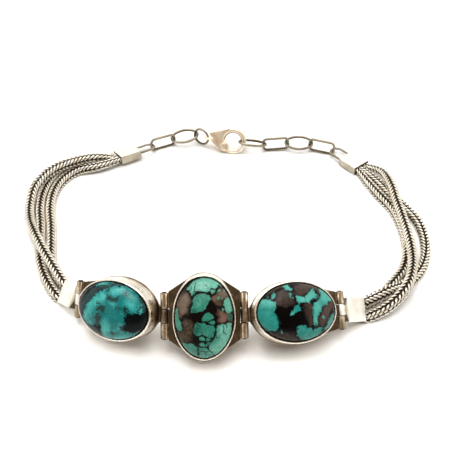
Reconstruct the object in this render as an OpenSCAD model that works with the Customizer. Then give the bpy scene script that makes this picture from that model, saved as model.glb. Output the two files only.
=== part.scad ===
// Silver bracelet with three turquoise cabochons, lying fastened on a table.
// Front row: three oval settings joined by loose hinges and leaning back.
// Each side: a flat end cap, three loosely crossed foxtail strands, a flat end cap.
// Back: large links, a jump ring and a lobster clasp.
// Origin: middle of the whole outline, on the table. X runs along the front row,
// Y runs from the front row to the clasp, Z is up. Millimetres and degrees.

/* [Stones] */
// Long half axis of each oval stone
stone_a = 6.95; // [6:0.05:7.3]
// Short half axis of each oval stone
stone_b = 5.05; // [4.5:0.05:5.3]
// Height of the stone's dome above the rim
dome_h = 2.5; // [1.5:0.1:3.5]
// Narrowing of the stone's girdle where the dome starts
girdle_in = 0.14; // [0.05:0.01:0.3]

/* [Settings] */
// Depth of each setting from its rim to the hinge axes
box_h = 3.25; // [2.8:0.05:3.6]
// Thickness of the back plate
plate_t = 0.55; // [0.4:0.05:0.6]
// Width of the bezel's wall at the rim
rim_w = 0.34; // [0.25:0.01:0.45]
// How far the bezel's foot stands outside the stone
foot_w = 0.5; // [0.45:0.01:0.54]
// Play between the stone and the bezel
stone_gap = 0.05; // [0.03:0.01:0.08]

/* [Hinges] */
// Distance from the upright stone's centre to its hinge axes
reach_centre = 6.95; // [6.9:0.05:7.3]
// Distance from a lying stone's centre to its inner hinge axis
reach_inner = 8.4; // [8.4:0.05:8.7]
// Distance from a lying stone's centre to its outer hinge axis
reach_outer = 9.05; // [9:0.05:9.4]
// Radius of every hinge knuckle
knuckle_r = 0.7; // [0.65:0.01:0.72]
// Radius of the hinge pins
pin_r = 0.3; // [0.25:0.01:0.32]
// Length of the two inner hinges
inner_len = 8.0; // [7.6:0.1:8.2]
// Length of the two outer hinges
outer_len = 6.6; // [6.4:0.1:6.8]
// Length of the middle knuckle of an inner hinge
inner_mid = 2.44; // [2.2:0.02:2.6]
// Length of the middle knuckle of an outer hinge
outer_mid = 2.0; // [1.8:0.05:2.2]
// Gap between neighbouring knuckles
knuckle_gap = 0.18; // [0.15:0.01:0.2]

/* [End caps] */
// Width of an end cap across its three strands
cap_w = 4.4; // [4.3:0.05:4.6]
// Thickness of an end cap
cap_t = 2.0; // [1.9:0.05:2.2]
// Length of an end cap
cap_len = 4.8; // [4.4:0.1:5.2]
// Wall of an end cap's mouth
cap_wall = 0.22; // [0.18:0.01:0.24]
// Gap between a hinge axis and its end cap
cap_gap = 1.05; // [1:0.05:1.2]

/* [Strands] */
// Radius of a foxtail strand along its free run
strand_r = 1.0; // [0.9:0.01:1.01]
// Radius of a strand pressed into an end cap
strand_end_r = 0.58; // [0.5:0.01:0.6]

/* [Links] */
// Wire radius of the links
wire_r = 0.26; // [0.24:0.005:0.27]
// Outer length of the squarish links
square_len = 6.15; // [6.1:0.01:6.2]
// Outer length of the oval links
oval_len = 6.5; // [6.45:0.01:6.55]
// Outer width of the links
link_w = 3.35; // [3.3:0.01:3.4]
// Outer length of the loop on each rear cap
loop_len = 4.3; // [4.2:0.05:4.4]

/* [Clasp] */
// Centre line radius of the clasp's hook
hook_r = 2.4; // [2.38:0.01:2.42]
// Radius of the hook's bar
bar_r = 0.57; // [0.5:0.01:0.58]
// Radius of the lever's bar
lever_r = 0.42; // [0.36:0.01:0.44]
// Turn of the lever from closed
lever_turn = 0; // [0:1:14]

/* [Pose on the table] */
// Lean of the front row, from lying flat
front_lean = 50; // [49.5:0.1:50.5]
// Turn of the left setting about its inner hinge
left_turn = 24; // [23:0.5:25]
// Turn of the right setting about its inner hinge
right_turn = 11; // [10:0.5:12]

/* [Hidden] */

// Smoothness of round pieces, and of the ovals
round_fn = 48;
oval_n = 48;
dome_rings = 8;
tiny = 0.05;

silver = "#d9d2c5";
dark_silver = "#8d8474";
polished = "#f1eee6";
left_green = "#2aa39b";
centre_green = "#4fa98c";
right_green = "#2b9b8b";

// Height of the hinge axes below the rims, and of the plate's two faces
axis_z = -box_h;
plate_drop = 0.3;
plate_bottom = axis_z - plate_drop;
plate_top = plate_bottom + plate_t;
// Length and middle of an end knuckle, for a hinge of length len and middle knuckle mid
function end_len(len, mid) = (len - mid) / 2 - knuckle_gap;
function end_y(len, mid) = (len - end_len(len, mid)) / 2;

// Shift that brings the middle of the outline to the origin and the lowest wire to the table
table_shift = [0.3, 0.2, -0.02];

// Front row places: the upright stone's rim centre, then the play in each loose hinge
// as [turn about the row's own direction, turn about the face's normal]
centre_at = [-3.7, -29.85, 9.1];
play_left = [2.9, -7.8];
play_right = [-8.4, 1.1];
// Turn of the left setting's inner knuckle as seen on the centre setting's back plate
left_follow = 6;
// Outer hinges: [turn about the hinge, play about the cap's length, twist of the cap]
cap_left_set = [30.5, -2.2, -15];
cap_right_set = [33, -2.2, 0];

// Rear caps: [centre of the loop end, direction of the mouth, roll]
rear_left = [[-19.44, 28.23, 1.46], 209.8, 12];
rear_right = [[26.86, 25.48, 1.13], -50.3, 0];

// Links: [place of the middle, [roll from lying flat, pitch, yaw]]
link_1_at = [[-13.87, 31.11, 1.72], [92.2, 0.7, 26.1]];
link_2_at = [[-9.02, 32.68, 2.19], [31.2, -7.3, 7.1]];
ring_at = [[-5.15, 31.94, 2.57], [84.3, -2.9, -33.3]];
link_3_at = [[6.37, 29.66, 2.31], [-12.2, 8.2, 2.1]];
link_4_at = [[11.56, 29.83, 1.91], [88.4, -3, 2.1]];
link_5_at = [[16.76, 29.83, 2.11], [35.4, 0.3, -3.3]];
link_6_at = [[21.82, 28.79, 1.82], [87.9, 2.2, -18.2]];
clasp_at = [[1.96, 30.0, 2.69], [61.2, 1.6, -9.6]];

// Width of an oval link and radius of its end arcs
oval_w = 3.45;
oval_end_r = 0.95;
// Ring and clasp sizes
ring_r = 1.82;
ring_wire = 0.25;
pivot_at = [-1.75, -1.35];
pivot_pin_r = 0.28;
hub_r = 0.62;
lever_t = 0.8;
// Angles round the hook: its full bar starts at tip_from, its outer half at lap_from,
// and the lever's inner half runs from nose_from to nose_to
tip_from = -17;
lap_from = -52;
nose_from = 304;
nose_to = 318;
body_t = 1.6;
tail_x = -5.4;
tail_r = 0.88;
tail_wire = 0.27;

// Strand routes, each a list of [x, y, z] with one ring at every point.
// The first two points lie in the front cap's mouth and the last two in the rear cap's.
// The middle strand of each side comes out of the front cap under the other two, pressed thin.
front_r = 0.97;
front_mid_r = 0.6;
route_left_top = [
    [-28.27, -17.16, 3.8], [-29.62, -15.49, 2.84], [-30.4, -14.5, 2.6], [-32.8, -10.6, 3],
    [-35.4, -6, 3.2], [-37.7, -1.2, 3.1], [-39.5, 3.7, 2.2], [-40.4, 8.8, 1.8],
    [-39.9, 14, 2.8], [-37.3, 18.6, 3.3], [-33.4, 22.1, 3], [-28.7, 24.1, 2.8],
    [-23.78, 25.75, 1.46], [-21.7, 26.94, 1.46]
];
route_left_low = [
    [-29.12, -18.81, 2.13], [-30.47, -17.15, 1.17], [-31.6, -16.5, 1], [-34.2, -12.1, 1],
    [-36, -7.1, 1], [-36.8, -1.8, 1], [-37.5, 3.4, 1], [-38.4, 8.6, 1],
    [-38.5, 13.9, 1], [-37.2, 19.1, 1], [-34.1, 23.4, 1], [-29.5, 25.8, 1.1],
    [-24.39, 26.81, 1.2], [-22.3, 28, 1.2]
];
route_left_mid = [
    [-28.5, -17.92, 2.8], [-29.85, -16.26, 1.84], [-30, -15.1, 0.8], [-32.4, -11.4, 0.9],
    [-33.9, -6.6, 1], [-34.6, -1.7, 1], [-35.3, 3.2, 1], [-36.2, 8.2, 1],
    [-36.4, 13.2, 1], [-35.3, 17.9, 1], [-32.3, 21.6, 1.1], [-27.3, 22.5, 1.7],
    [-23.17, 24.68, 1.72], [-21.09, 25.88, 1.72]
];
route_right_top = [
    [22.99, -21.88, 4.18], [24.68, -20.73, 3.02], [25.7, -20.1, 2.7], [29.8, -17.9, 2.9],
    [33.8, -14.8, 1.6], [37.1, -11, 1.1], [39.1, -6.4, 1], [39.8, -1.4, 1],
    [39.3, 3.6, 1], [37.3, 8.3, 1], [34.8, 12.8, 1], [32.8, 17.3, 0.9],
    [30.05, 21.63, 1.13], [28.52, 23.48, 1.13]
];
route_right_low = [
    [23.18, -23.78, 2.56], [24.87, -22.63, 1.4], [26, -22.4, 1], [29.8, -21.1, 2.4],
    [33.4, -17.5, 3.7], [35.2, -12.7, 3.7], [36, -7.6, 3.1], [36, -2.4, 3.2],
    [35.7, 2.7, 3.2], [35.3, 7.8, 3.1], [34.9, 13.1, 3.2], [33.9, 18.8, 2.2],
    [31.02, 22.43, 1.13], [29.48, 24.28, 1.13]
];
route_right_mid = [
    [22.9, -22.72, 3.22], [24.6, -21.57, 2.06], [24.9, -20.5, 0.9], [28.2, -18, 0.9],
    [31.2, -14.4, 1], [34, -10.6, 1], [35.5, -6.2, 1], [36, -1.4, 1],
    [35.8, 3.3, 1], [34.8, 7.9, 1], [32.8, 12.1, 1], [30.9, 16.4, 1],
    [29.09, 20.83, 1.13], [27.56, 22.68, 1.13]
];

// Ovals

// Points of an oval of half axes a and b, in the plane z
function oval(a, b, z = 0) =
    [for (i = [0 : oval_n - 1]) let (t = 360 * i / oval_n) [a * cos(t), b * sin(t), z]];

// Point of the oval of half axes a and b at the angle t
function oval_at(a, b, t) = [a * cos(t), b * sin(t)];

// Triangles between ring k and ring k + 1 of n points, the rings running up
function band(k, n) = [for (i = [0 : n - 1], half = [0, 1])
    let (j = (i + 1) % n, low = k * n, high = (k + 1) * n)
    half == 0 ? [low + i, high + j, low + j] : [low + i, high + i, high + j]];

// Bezel wall: a closed profile of [outset, z] carried round an oval of half axes a and b
module oval_wall(a, b, profile) {
    rows = len(profile);
    points = [for (p = profile) each oval(a + p[0], b + p[0], p[1])];
    faces = [for (k = [0 : rows - 1], i = [0 : oval_n - 1], half = [0, 1])
        let (j = (i + 1) % oval_n, low = k * oval_n, high = ((k + 1) % rows) * oval_n)
        half == 0 ? [low + i, low + j, high + j] : [low + i, high + j, high + i]];
    polyhedron(points = points, faces = [for (f = faces) [f[2], f[1], f[0]]]);
}

// Dome of a stone: half axes and height at the share s of the way up
function dome_ring(s, a, b) =
    let (t = 90 * s, k = pow(cos(t), 0.92))
    oval(a * k, b * k, dome_h * pow(sin(t), 1.06));

module stone(a, b, tint) {
    top_a = a - girdle_in;
    top_b = b - girdle_in;
    rings = [
        oval(a - 0.25, b - 0.25, plate_top + tiny),
        oval(a, b, plate_top + 0.4),
        oval(a, b, -0.6),
        for (k = [0 : dome_rings - 1]) dome_ring(k / dome_rings, top_a, top_b)
    ];
    count = len(rings);
    points = [for (r = rings) each r, [0, 0, dome_h]];
    tip = count * oval_n;
    faces = [
        for (k = [0 : count - 2]) each band(k, oval_n),
        [for (i = [0 : oval_n - 1]) i],
        for (i = [0 : oval_n - 1]) [(count - 1) * oval_n + i, tip,
            (count - 1) * oval_n + (i + 1) % oval_n]
    ];
    color(tint) polyhedron(points = points, faces = faces);
}

// Settings

// Tube of one knuckle along Y, with its bore
module knuckle(y, len, bore) {
    translate([0, y, 0]) rotate([90, 0, 0]) difference() {
        cylinder(r = knuckle_r, h = len, center = true, $fn = round_fn);
        cylinder(r = bore, h = len + 1, center = true, $fn = round_fn);
    }
}

// Tongue that carries a knuckle: it runs from x = -reach to the bore
module tongue(y, len, reach, bore) {
    difference() {
        translate([-reach, y - len / 2, -plate_drop]) cube([reach, len, plate_t]);
        translate([0, y, 0]) rotate([90, 0, 0])
            cylinder(r = bore, h = len + 1, center = true, $fn = round_fn);
    }
}

// Two end knuckles at x = 0, with their tongues
module knuckle_pair(len, mid) {
    for (side = [-1, 1]) {
        knuckle(side * end_y(len, mid), end_len(len, mid), pin_r + 0.04);
        tongue(side * end_y(len, mid), end_len(len, mid), wing_gap + 0.3, pin_r + 0.04);
    }
}

// How far the back plate stands outside the stone
plate_out = 0.56;
// Gap between a hinge axis and the wing's edge beside the middle knuckle
wing_gap = knuckle_r + 0.1;
// Bore of the loose middle knuckles
loose_bore = 0.54;

// Oval box: back plate and bezel round a stone of half axes a and b
module oval_box(a, b) {
    translate([0, 0, plate_bottom]) linear_extrude(plate_t)
        polygon([for (p = oval(a + plate_out, b + plate_out)) [p[0], p[1]]]);
    oval_wall(a, b, [
        [stone_gap, plate_top - tiny],
        [foot_w, plate_top - tiny],
        [foot_w - 0.12, -box_h / 2],
        [rim_w + 0.05, -0.35],
        [rim_w - 0.04, -0.05],
        [rim_w - 0.14, 0],
        [stone_gap, -0.08]
    ]);
}

// Wing of the back plate: from the oval's point at the angle t out to the hinge, a little
// longer than the hinge by over at each end. Beside the neighbour's middle knuckle, of
// length mid, its edge is turned by slant so that it follows that knuckle.
module wing(a, b, t, reach, len, over = 0, mid = 0, slant = 0) {
    p = oval_at(a + plate_out, b + plate_out, t);
    x = reach - wing_gap;
    y = len / 2 + over;
    m = mid / 2 + 0.09;
    half = mid == 0 ? [] : [[x - m * tan(slant), -m], [x + m * tan(slant), m]];
    translate([0, 0, plate_bottom]) linear_extrude(plate_t)
        polygon([[p[0], -p[1]], [x, -y], each half, [x, y], [p[0], p[1]]]);
}

module centre_setting_shape() {
    oval_box(stone_b, stone_a);
    for (side = [0, 180]) rotate([0, 0, side]) {
        follow = side == 0 ? 0 : left_follow;
        wing(stone_b, stone_a, 58, reach_centre, inner_len, 0.25, inner_mid, follow);
        translate([reach_centre, 0, axis_z]) knuckle_pair(inner_len, inner_mid);
    }
}

// A lying setting: its inner hinge is on the +X side, its outer hinge on the -X side.
// The inner wing stands 0.12 further back, clear of the upright setting's end knuckles.
module side_setting_shape() {
    oval_box(stone_a, stone_b);
    wing(stone_a, stone_b, 38, reach_inner - 0.12, inner_mid);
    translate([reach_inner, 0, axis_z]) {
        knuckle(0, inner_mid, loose_bore);
        tongue(0, inner_mid, reach_inner - stone_a, loose_bore);
    }
    rotate([0, 0, 180]) {
        wing(stone_a, stone_b, 48, reach_outer, outer_len);
        translate([reach_outer, 0, axis_z]) knuckle_pair(outer_len, outer_mid);
    }
}

// Pin with a small head at each end, along Y
module pin_shape(len) {
    rotate([90, 0, 0]) {
        cylinder(r = pin_r, h = len + 0.3, center = true, $fn = round_fn);
        for (side = [-1, 1]) translate([0, 0, side * (len / 2 + 0.11)])
            cylinder(r = knuckle_r * 0.62, h = 0.14, center = true, $fn = round_fn);
    }
}

// End caps

// Section of a cap, width across X and thickness across Y: small corners on the
// face side, large ones at the back
module cap_section(w, t, face_r, back_r) {
    x = w / 2;
    y = t / 2;
    for (side = [-1, 1]) {
        translate([side * (x - face_r), y - face_r]) circle(r = face_r, $fn = 32);
        translate([side * (x - back_r), back_r - y]) circle(r = back_r, $fn = 32);
    }
    polygon([[face_r - x, y], [x - face_r, y], [x - face_r, 0], [face_r - x, 0]]);
    polygon([[back_r - x, -y], [x - back_r, -y], [x - back_r, 0], [back_r - x, 0]]);
    polygon([[-x, back_r - y], [x, back_r - y], [x, y - face_r], [-x, y - face_r]]);
}

// Closed box from x = start outwards, its mouth a pocket at the far end
module cap_box(start) {
    pocket = cap_len * 0.5;
    translate([start, 0, 0]) difference() {
        rotate([90, 0, 90]) linear_extrude(cap_len) cap_section(cap_w, cap_t, 0.2, 0.5);
        translate([cap_len - pocket, 0, 0]) rotate([90, 0, 90]) linear_extrude(pocket + 1)
            cap_section(cap_w - 2 * cap_wall, cap_t - 2 * cap_wall, 0.1, 0.35);
    }
}

// Front cap: hinge axis at the origin, the box outwards along +X, turned about X by twist
module front_cap_shape(twist) {
    knuckle(0, outer_mid, loose_bore);
    tongue_end = cap_gap + 0.35;
    difference() {
        translate([0, -outer_mid / 2 + 0.15, -plate_drop]) cube([tongue_end, outer_mid - 0.3, 0.6]);
        rotate([90, 0, 0]) cylinder(r = loose_bore, h = outer_mid + 1, center = true, $fn = round_fn);
    }
    rotate([twist, 0, 0]) cap_box(cap_gap);
}

// Rear cap: loop end at the origin, the box along +X, the loop along -X
module rear_cap_shape() {
    cap_box(0);
    half = link_w / 2 - wire_r;
    straight = loop_len - wire_r - half;
    translate([-straight, 0, 0]) rotate([0, 0, 90]) rotate_extrude(angle = 180, $fn = round_fn)
        translate([half, 0]) circle(r = wire_r, $fn = 24);
    for (side = [-1, 1]) translate([-straight, side * half, 0]) rotate([0, 90, 0])
        cylinder(r = wire_r, h = straight + 0.2, $fn = 24);
}

// Links

// Link of outer length len, with corners of centre line radius r, lying in XY
module link_shape(len, r) {
    a = len / 2 - wire_r - r;
    b = link_w / 2 - wire_r - r;
    for (k = [0 : 3]) {
        sx = (k == 0 || k == 3) ? 1 : -1;
        sy = k < 2 ? 1 : -1;
        translate([sx * a, sy * b, 0]) rotate([0, 0, 90 * k]) rotate_extrude(angle = 90, $fn = round_fn)
            translate([r, 0]) circle(r = wire_r, $fn = 24);
    }
    for (side = [-1, 1]) {
        translate([0, side * (b + r), 0]) rotate([0, 90, 0])
            cylinder(r = wire_r, h = 2 * a, center = true, $fn = 24);
        if (b > 0.01) translate([side * (a + r), 0, 0]) rotate([90, 0, 0])
            cylinder(r = wire_r, h = 2 * b, center = true, $fn = 24);
    }
}

// Oval link lying in XY, its centre line four arcs: small ones at the ends, wide ones
// at the sides, a bead closing each joint
module oval_link_shape() {
    a = oval_len / 2 - wire_r;
    b = oval_w / 2 - wire_r;
    side_r = (pow(a - oval_end_r, 2) + b * b - oval_end_r * oval_end_r) / (2 * (b - oval_end_r));
    turn = atan2(side_r - b, a - oval_end_r);
    for (k = [0, 180]) rotate([0, 0, k]) {
        translate([a - oval_end_r, 0, 0]) ring_arc(oval_end_r, wire_r, 2 - turn, 2 * turn - 4);
        translate([0, b - side_r, 0]) ring_arc(side_r, wire_r, turn + 0.4, 179.2 - 2 * turn);
        for (side = [-1, 1]) translate([a - oval_end_r, 0, 0]) rotate([0, 0, side * turn])
            translate([oval_end_r, 0, 0]) sphere(r = wire_r + 0.01, $fn = 24);
    }
}

// Clasp, its plane XY: the tail at -X, the hook round the origin, the lever below

module ring_arc(radius, bar, from, sweep) {
    rotate([0, 0, from]) rotate_extrude(angle = sweep, $fn = round_fn)
        translate([radius, 0]) circle(r = bar, $fn = 24);
}

module clasp_body_shape() {
    difference() {
        union() {
            ring_arc(hook_r, bar_r, lap_from, 218 - lap_from);
            difference() {
                linear_extrude(body_t * 0.8, center = true)
                    polygon([
                        [-0.9, 2.72], [-3.9, 1.8], [-5.4, 1.35], [-5.5, 1.1], [-5.0, 0.5],
                        [-4.95, -0.45], [-4.3, -1.05], [-2.84, -2.2], [-1.5, -2.6]
                    ]);
                cylinder(r = hook_r, h = 3, center = true, $fn = round_fn);
            }
            translate([pivot_at[0], pivot_at[1], 0])
                cylinder(r = hub_r + 0.14, h = body_t, center = true, $fn = 32);
            translate([tail_x + tail_r, 0, 0]) rotate([0, -90, 0])
                cylinder(r = 0.42, h = 0.35, center = true, $fn = 24);
        }
        sector(0.5, hook_r + 0.03, lap_from - 5, tip_from);
        lever_slot();
        translate([pivot_at[0], pivot_at[1], 0])
            cylinder(r = pivot_pin_r + 0.04, h = 4, center = true, $fn = 32);
    }
    translate([tail_x, 0, 0]) rotate([90, 0, 0]) ring_arc(tail_r, tail_wire, 0, 360);
}

// Block between the radii inner and outer and the angles from and to, to cut a bar in half
module sector(inner, outer, from, to) {
    rotate([0, 0, from]) rotate_extrude(angle = to - from, $fn = round_fn)
        translate([inner, -1.5]) square([outer - inner, 3]);
}

// Slot in the body that the lever's hub and bar swing in
module lever_slot() {
    slot_t = lever_t + 0.16;
    translate([pivot_at[0], pivot_at[1], 0]) {
        cylinder(r = hub_r + 0.1, h = slot_t, center = true, $fn = 32);
        translate([-0.9, -2.0, -slot_t / 2]) cube([3.1, 2.0, slot_t]);
        translate([0, -0.4, -slot_t / 2]) rotate([0, 0, 14]) cube([2.2, 1.0, slot_t]);
    }
}

module clasp_lever_shape() {
    p = [pivot_at[0], pivot_at[1], 0];
    translate(p) rotate([0, 0, lever_turn]) translate(-p) difference() {
        union() {
            ring_arc(hook_r, lever_r, 218, nose_to - 218);
            translate(p) cylinder(r = hub_r, h = lever_t, center = true, $fn = 32);
            translate([-1.55, -1.95, 0]) rotate([0, 0, 20])
                cube([0.9, 0.7, lever_t], center = true);
        }
        sector(hook_r - 0.04, hook_r + 1, nose_from, nose_to + 5);
        translate(p) cylinder(r = pivot_pin_r + 0.03, h = 3, center = true, $fn = 32);
    }
}

module clasp_pin_shape() {
    translate([pivot_at[0], pivot_at[1], 0]) {
        cylinder(r = pivot_pin_r, h = body_t + 0.24, center = true, $fn = 32);
        for (side = [-1, 1]) translate([0, 0, side * (body_t / 2 + 0.09)])
            cylinder(r = pivot_pin_r + 0.1, h = 0.1, center = true, $fn = 32);
    }
}

// Strands

// Radius of a strand at ring i of n: pressed thin in the caps, first_r just outside the
// front cap, and full along its free run
function strand_radius(i, n, first_r) =
    min(i, n - 1 - i) < 2 ? strand_end_r
    : i == 2 ? first_r
    : i == 3 ? (first_r + strand_r) / 2
    : i == n - 3 ? (strand_end_r + strand_r) / 2 + 0.06
    : strand_r;

function unit(v) = v / norm(v);

// Direction of a route at its point i
function along(route, i) =
    unit(route[min(i + 1, len(route) - 1)] - route[max(i - 1, 0)]);

// Ring of eight points round a route's point i
function strand_ring(route, i, first_r) =
    let (
        d = along(route, i),
        side = unit(cross([0, 0, 1], d)),
        up = cross(d, side),
        r = strand_radius(i, len(route), first_r)
    )
    [for (k = [0 : 7]) route[i] + r * (side * cos(45 * k + 22.5) + up * sin(45 * k + 22.5))];

module strand(route, first_r) {
    n = len(route);
    points = [for (i = [0 : n - 1]) each strand_ring(route, i, first_r)];
    faces = [
        for (k = [0 : n - 2]) each band(k, 8),
        [for (i = [0 : 7]) i],
        [for (i = [7 : -1 : 0]) (n - 1) * 8 + i]
    ];
    color(dark_silver) translate(table_shift) polyhedron(points = points, faces = faces);
}

// Places

// Frame of the front row: X along the row, Y along the hinges, Z out of the stones
module front_row() {
    translate(centre_at + table_shift) rotate([front_lean, 0, 0]) children();
}

// Frame of a lying setting; side is -1 on the left, 1 on the right
module lying_frame(side) {
    turn = side < 0 ? -left_turn : right_turn;
    play = side < 0 ? play_left : play_right;
    front_row() translate([side * reach_centre, 0, axis_z]) rotate([0, turn, 0])
        rotate([play[0], 0, 0]) rotate([0, 0, play[1]])
        translate([side * reach_inner, 0, -axis_z]) children();
}

// Frame of an outer hinge, with +X outwards from the row
module outer_frame(side) {
    set = side < 0 ? cap_left_set : cap_right_set;
    lying_frame(side) translate([side * reach_outer, 0, axis_z]) rotate([0, side * set[0], 0])
        rotate([set[1], 0, 0]) rotate([0, 0, side < 0 ? 180 : 0]) children();
}

module rear_frame(set) {
    translate(set[0] + table_shift) rotate([0, 0, set[1]]) rotate([set[2], 0, 0]) children();
}

module link_frame(at) {
    translate(at[0] + table_shift) rotate(at[1]) children();
}

// Pieces

module setting_centre() {
    front_row() color(silver) centre_setting_shape();
}

module setting_side(side) {
    lying_frame(side) rotate([0, 0, side < 0 ? 0 : 180]) color(silver) side_setting_shape();
}

module stone_side(side, tint) {
    lying_frame(side) stone(stone_a, stone_b, tint);
}

module pin_inner(side) {
    front_row() translate([side * reach_centre, 0, axis_z]) color(silver) pin_shape(inner_len);
}

module pin_outer(side) {
    lying_frame(side) translate([side * reach_outer, 0, axis_z]) color(silver) pin_shape(outer_len);
}

module cap_front(side) {
    set = side < 0 ? cap_left_set : cap_right_set;
    outer_frame(side) color(polished) front_cap_shape(side * set[2]);
}

module cap_rear(set) {
    rear_frame(set) color(polished) rear_cap_shape();
}

module square_link(at) {
    link_frame(at) color(silver) link_shape(square_len, 0.9);
}

module oval_link(at) {
    link_frame(at) color(silver) oval_link_shape();
}

setting_side(-1);  // setting_left
setting_centre();
setting_side(1);  // setting_right
stone_side(-1, left_green);  // stone_left
front_row() stone(stone_b, stone_a, centre_green);  // stone_centre
stone_side(1, right_green);  // stone_right
pin_outer(-1);  // pin_outer_left
pin_inner(-1);  // pin_inner_left
pin_inner(1);  // pin_inner_right
pin_outer(1);  // pin_outer_right
cap_front(-1);  // cap_front_left
cap_front(1);  // cap_front_right
cap_rear(rear_left);  // cap_rear_left
cap_rear(rear_right);  // cap_rear_right
strand(route_left_top, front_r);  // strand_left_top
strand(route_left_low, front_r);  // strand_left_low
strand(route_left_mid, front_mid_r);  // strand_left_mid
strand(route_right_top, front_r);  // strand_right_top
strand(route_right_low, front_r);  // strand_right_low
strand(route_right_mid, front_mid_r);  // strand_right_mid
square_link(link_1_at);  // link_1
oval_link(link_2_at);  // link_2
oval_link(link_3_at);  // link_3
square_link(link_4_at);  // link_4
oval_link(link_5_at);  // link_5
square_link(link_6_at);  // link_6
link_frame(ring_at) color(silver) ring_arc(ring_r, ring_wire, 0, 360);  // jump_ring
link_frame(clasp_at) color(silver) clasp_body_shape();  // clasp_body
link_frame(clasp_at) color(silver) clasp_lever_shape();  // clasp_lever
link_frame(clasp_at) color(silver) clasp_pin_shape();  // clasp_pin
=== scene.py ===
from math import cos, pi, radians, sin, tan

import bmesh
import bpy
import numpy as np
from mathutils import Matrix, Vector


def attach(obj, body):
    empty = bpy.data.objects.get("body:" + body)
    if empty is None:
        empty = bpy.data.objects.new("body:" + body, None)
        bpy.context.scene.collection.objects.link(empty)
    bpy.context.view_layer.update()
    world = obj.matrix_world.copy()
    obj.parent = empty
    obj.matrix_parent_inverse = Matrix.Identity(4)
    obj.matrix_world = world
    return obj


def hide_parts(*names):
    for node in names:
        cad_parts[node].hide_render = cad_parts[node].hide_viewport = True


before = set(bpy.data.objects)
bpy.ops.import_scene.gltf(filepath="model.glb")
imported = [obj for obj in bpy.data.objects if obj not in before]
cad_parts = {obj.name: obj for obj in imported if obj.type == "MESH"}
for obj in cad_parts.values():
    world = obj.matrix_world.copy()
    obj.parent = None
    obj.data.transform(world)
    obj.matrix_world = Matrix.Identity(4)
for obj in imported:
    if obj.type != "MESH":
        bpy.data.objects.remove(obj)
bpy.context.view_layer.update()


# View and light: the camera looks down at a white table from the front, in a white tent that is
# brightest overhead, dim near the table, and open towards the camera. So silver that faces the
# camera mirrors the dim room, and flat tops mirror the bright roof. The tent is only mirrored:
# the table and the stones are lit by four lamps, the strongest two overhead, so that the
# shadows stay short and dark.

VIEW_AT, LOOK_DOWN, ROLL = (0.0003, -0.135, 0.122243), 0.7191, -0.0086
LENS, SENSOR, NEAREST_SEEN = 72.35, 36, 0.005
TENT_EDGE, TENT_LOW, TENT_HIGH, ROOF_FROM = (0.70, 0.90), 0.62, 1.15, 0.42
TENT_COLOUR, ROOM_COLOUR = (1, 0.975, 0.94, 1), (0.17, 0.12, 0.08, 1)
LAMP_COLOUR, OVERHEAD_COLOUR = (1, 0.98, 0.95), (1, 0.985, 0.96)
TABLE_HALF, TABLE_COLOUR, TABLE_ROUGH, TABLE_GLOSS = 2, (0.93, 0.925, 0.915, 1), 0.9, 0.1


def new_object(name, data):
    """Object with that data, in the scene."""
    thing = bpy.data.objects.new(name, data)
    bpy.context.scene.collection.objects.link(thing)
    return thing


class Nodes:
    """Shader nodes of one tree, added and joined in one call each."""

    def __init__(self, tree):
        self.tree = tree

    def feed(self, socket, value):
        """Value, or another node's socket, into a socket."""
        if isinstance(value, bpy.types.NodeSocket):
            self.tree.links.new(value, socket)
        else:
            socket.default_value = value

    def add(self, kind, *values, **settings):
        """Node of that kind with its properties set and the values fed to its first sockets."""
        node = self.tree.nodes.new("ShaderNode" + kind)
        for key, value in settings.items():
            setattr(node, key, value)
        for socket, value in zip(node.inputs, values):
            self.feed(socket, value)
        return node

    def maths(self, kind, *values):
        """Math node of that kind on the values."""
        return self.add("Math", *values, operation=kind).outputs[0]

    def ramp(self, value, low, high, start=0.0, end=1.0):
        """Smooth step of value from start at low to end at high."""
        return self.add("MapRange", value, low, high, start, end, interpolation_type="SMOOTHSTEP").outputs[0]

    def blend(self, share, first, second):
        """Colour first turning into second by share."""
        node = self.add("Mix", share, data_type="RGBA")
        self.feed(node.inputs[6], first)
        self.feed(node.inputs[7], second)
        return node.outputs[2]

    def field(self, name, output="Fac"):
        """Value that the mesh keeps under that name."""
        return self.add("Attribute", attribute_name=name).outputs[output]

    def noise(self, where, scale, detail=3.0, rough=0.55, output="Fac"):
        """Noise of that scale at where."""
        node = self.add("TexNoise", where)
        for key, value in (("Scale", scale), ("Detail", detail), ("Roughness", rough)):
            node.inputs[key].default_value = value
        return node.outputs[output]

    def uneven(self, name, noise, size):
        """Value that the mesh keeps under that name, plus size (noise - 1/2)."""
        return self.maths("ADD", self.field(name), self.maths("MULTIPLY_ADD", noise, size, -0.5 * size))

    def bump(self, height, strength, distance):
        """Slant of a surface raised by height."""
        node = self.add("Bump", strength, distance)
        self.feed(node.inputs["Height"], height)
        return node.outputs[0]


def finish(name):
    """New material, the nodes of its tree and the sockets of its surface."""
    material = bpy.data.materials.new(name)
    material.use_nodes = True
    return material, Nodes(material.node_tree), material.node_tree.nodes["Principled BSDF"].inputs


camera = new_object("camera", bpy.data.cameras.new("camera"))
camera.data.lens, camera.data.sensor_width, camera.data.clip_start = LENS, SENSOR, NEAREST_SEEN
right = Vector((1, 0, 0))
ahead = Vector((0, cos(LOOK_DOWN), -sin(LOOK_DOWN)))
above = Vector((0, sin(LOOK_DOWN), cos(LOOK_DOWN)))
right, above = cos(ROLL) * right + sin(ROLL) * above, cos(ROLL) * above - sin(ROLL) * right
camera.matrix_world = Matrix.Translation(VIEW_AT) @ Matrix((right, above, -ahead)).transposed().to_4x4()
bpy.context.scene.camera = camera
bpy.context.scene.view_settings.view_transform = "Standard"

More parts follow.
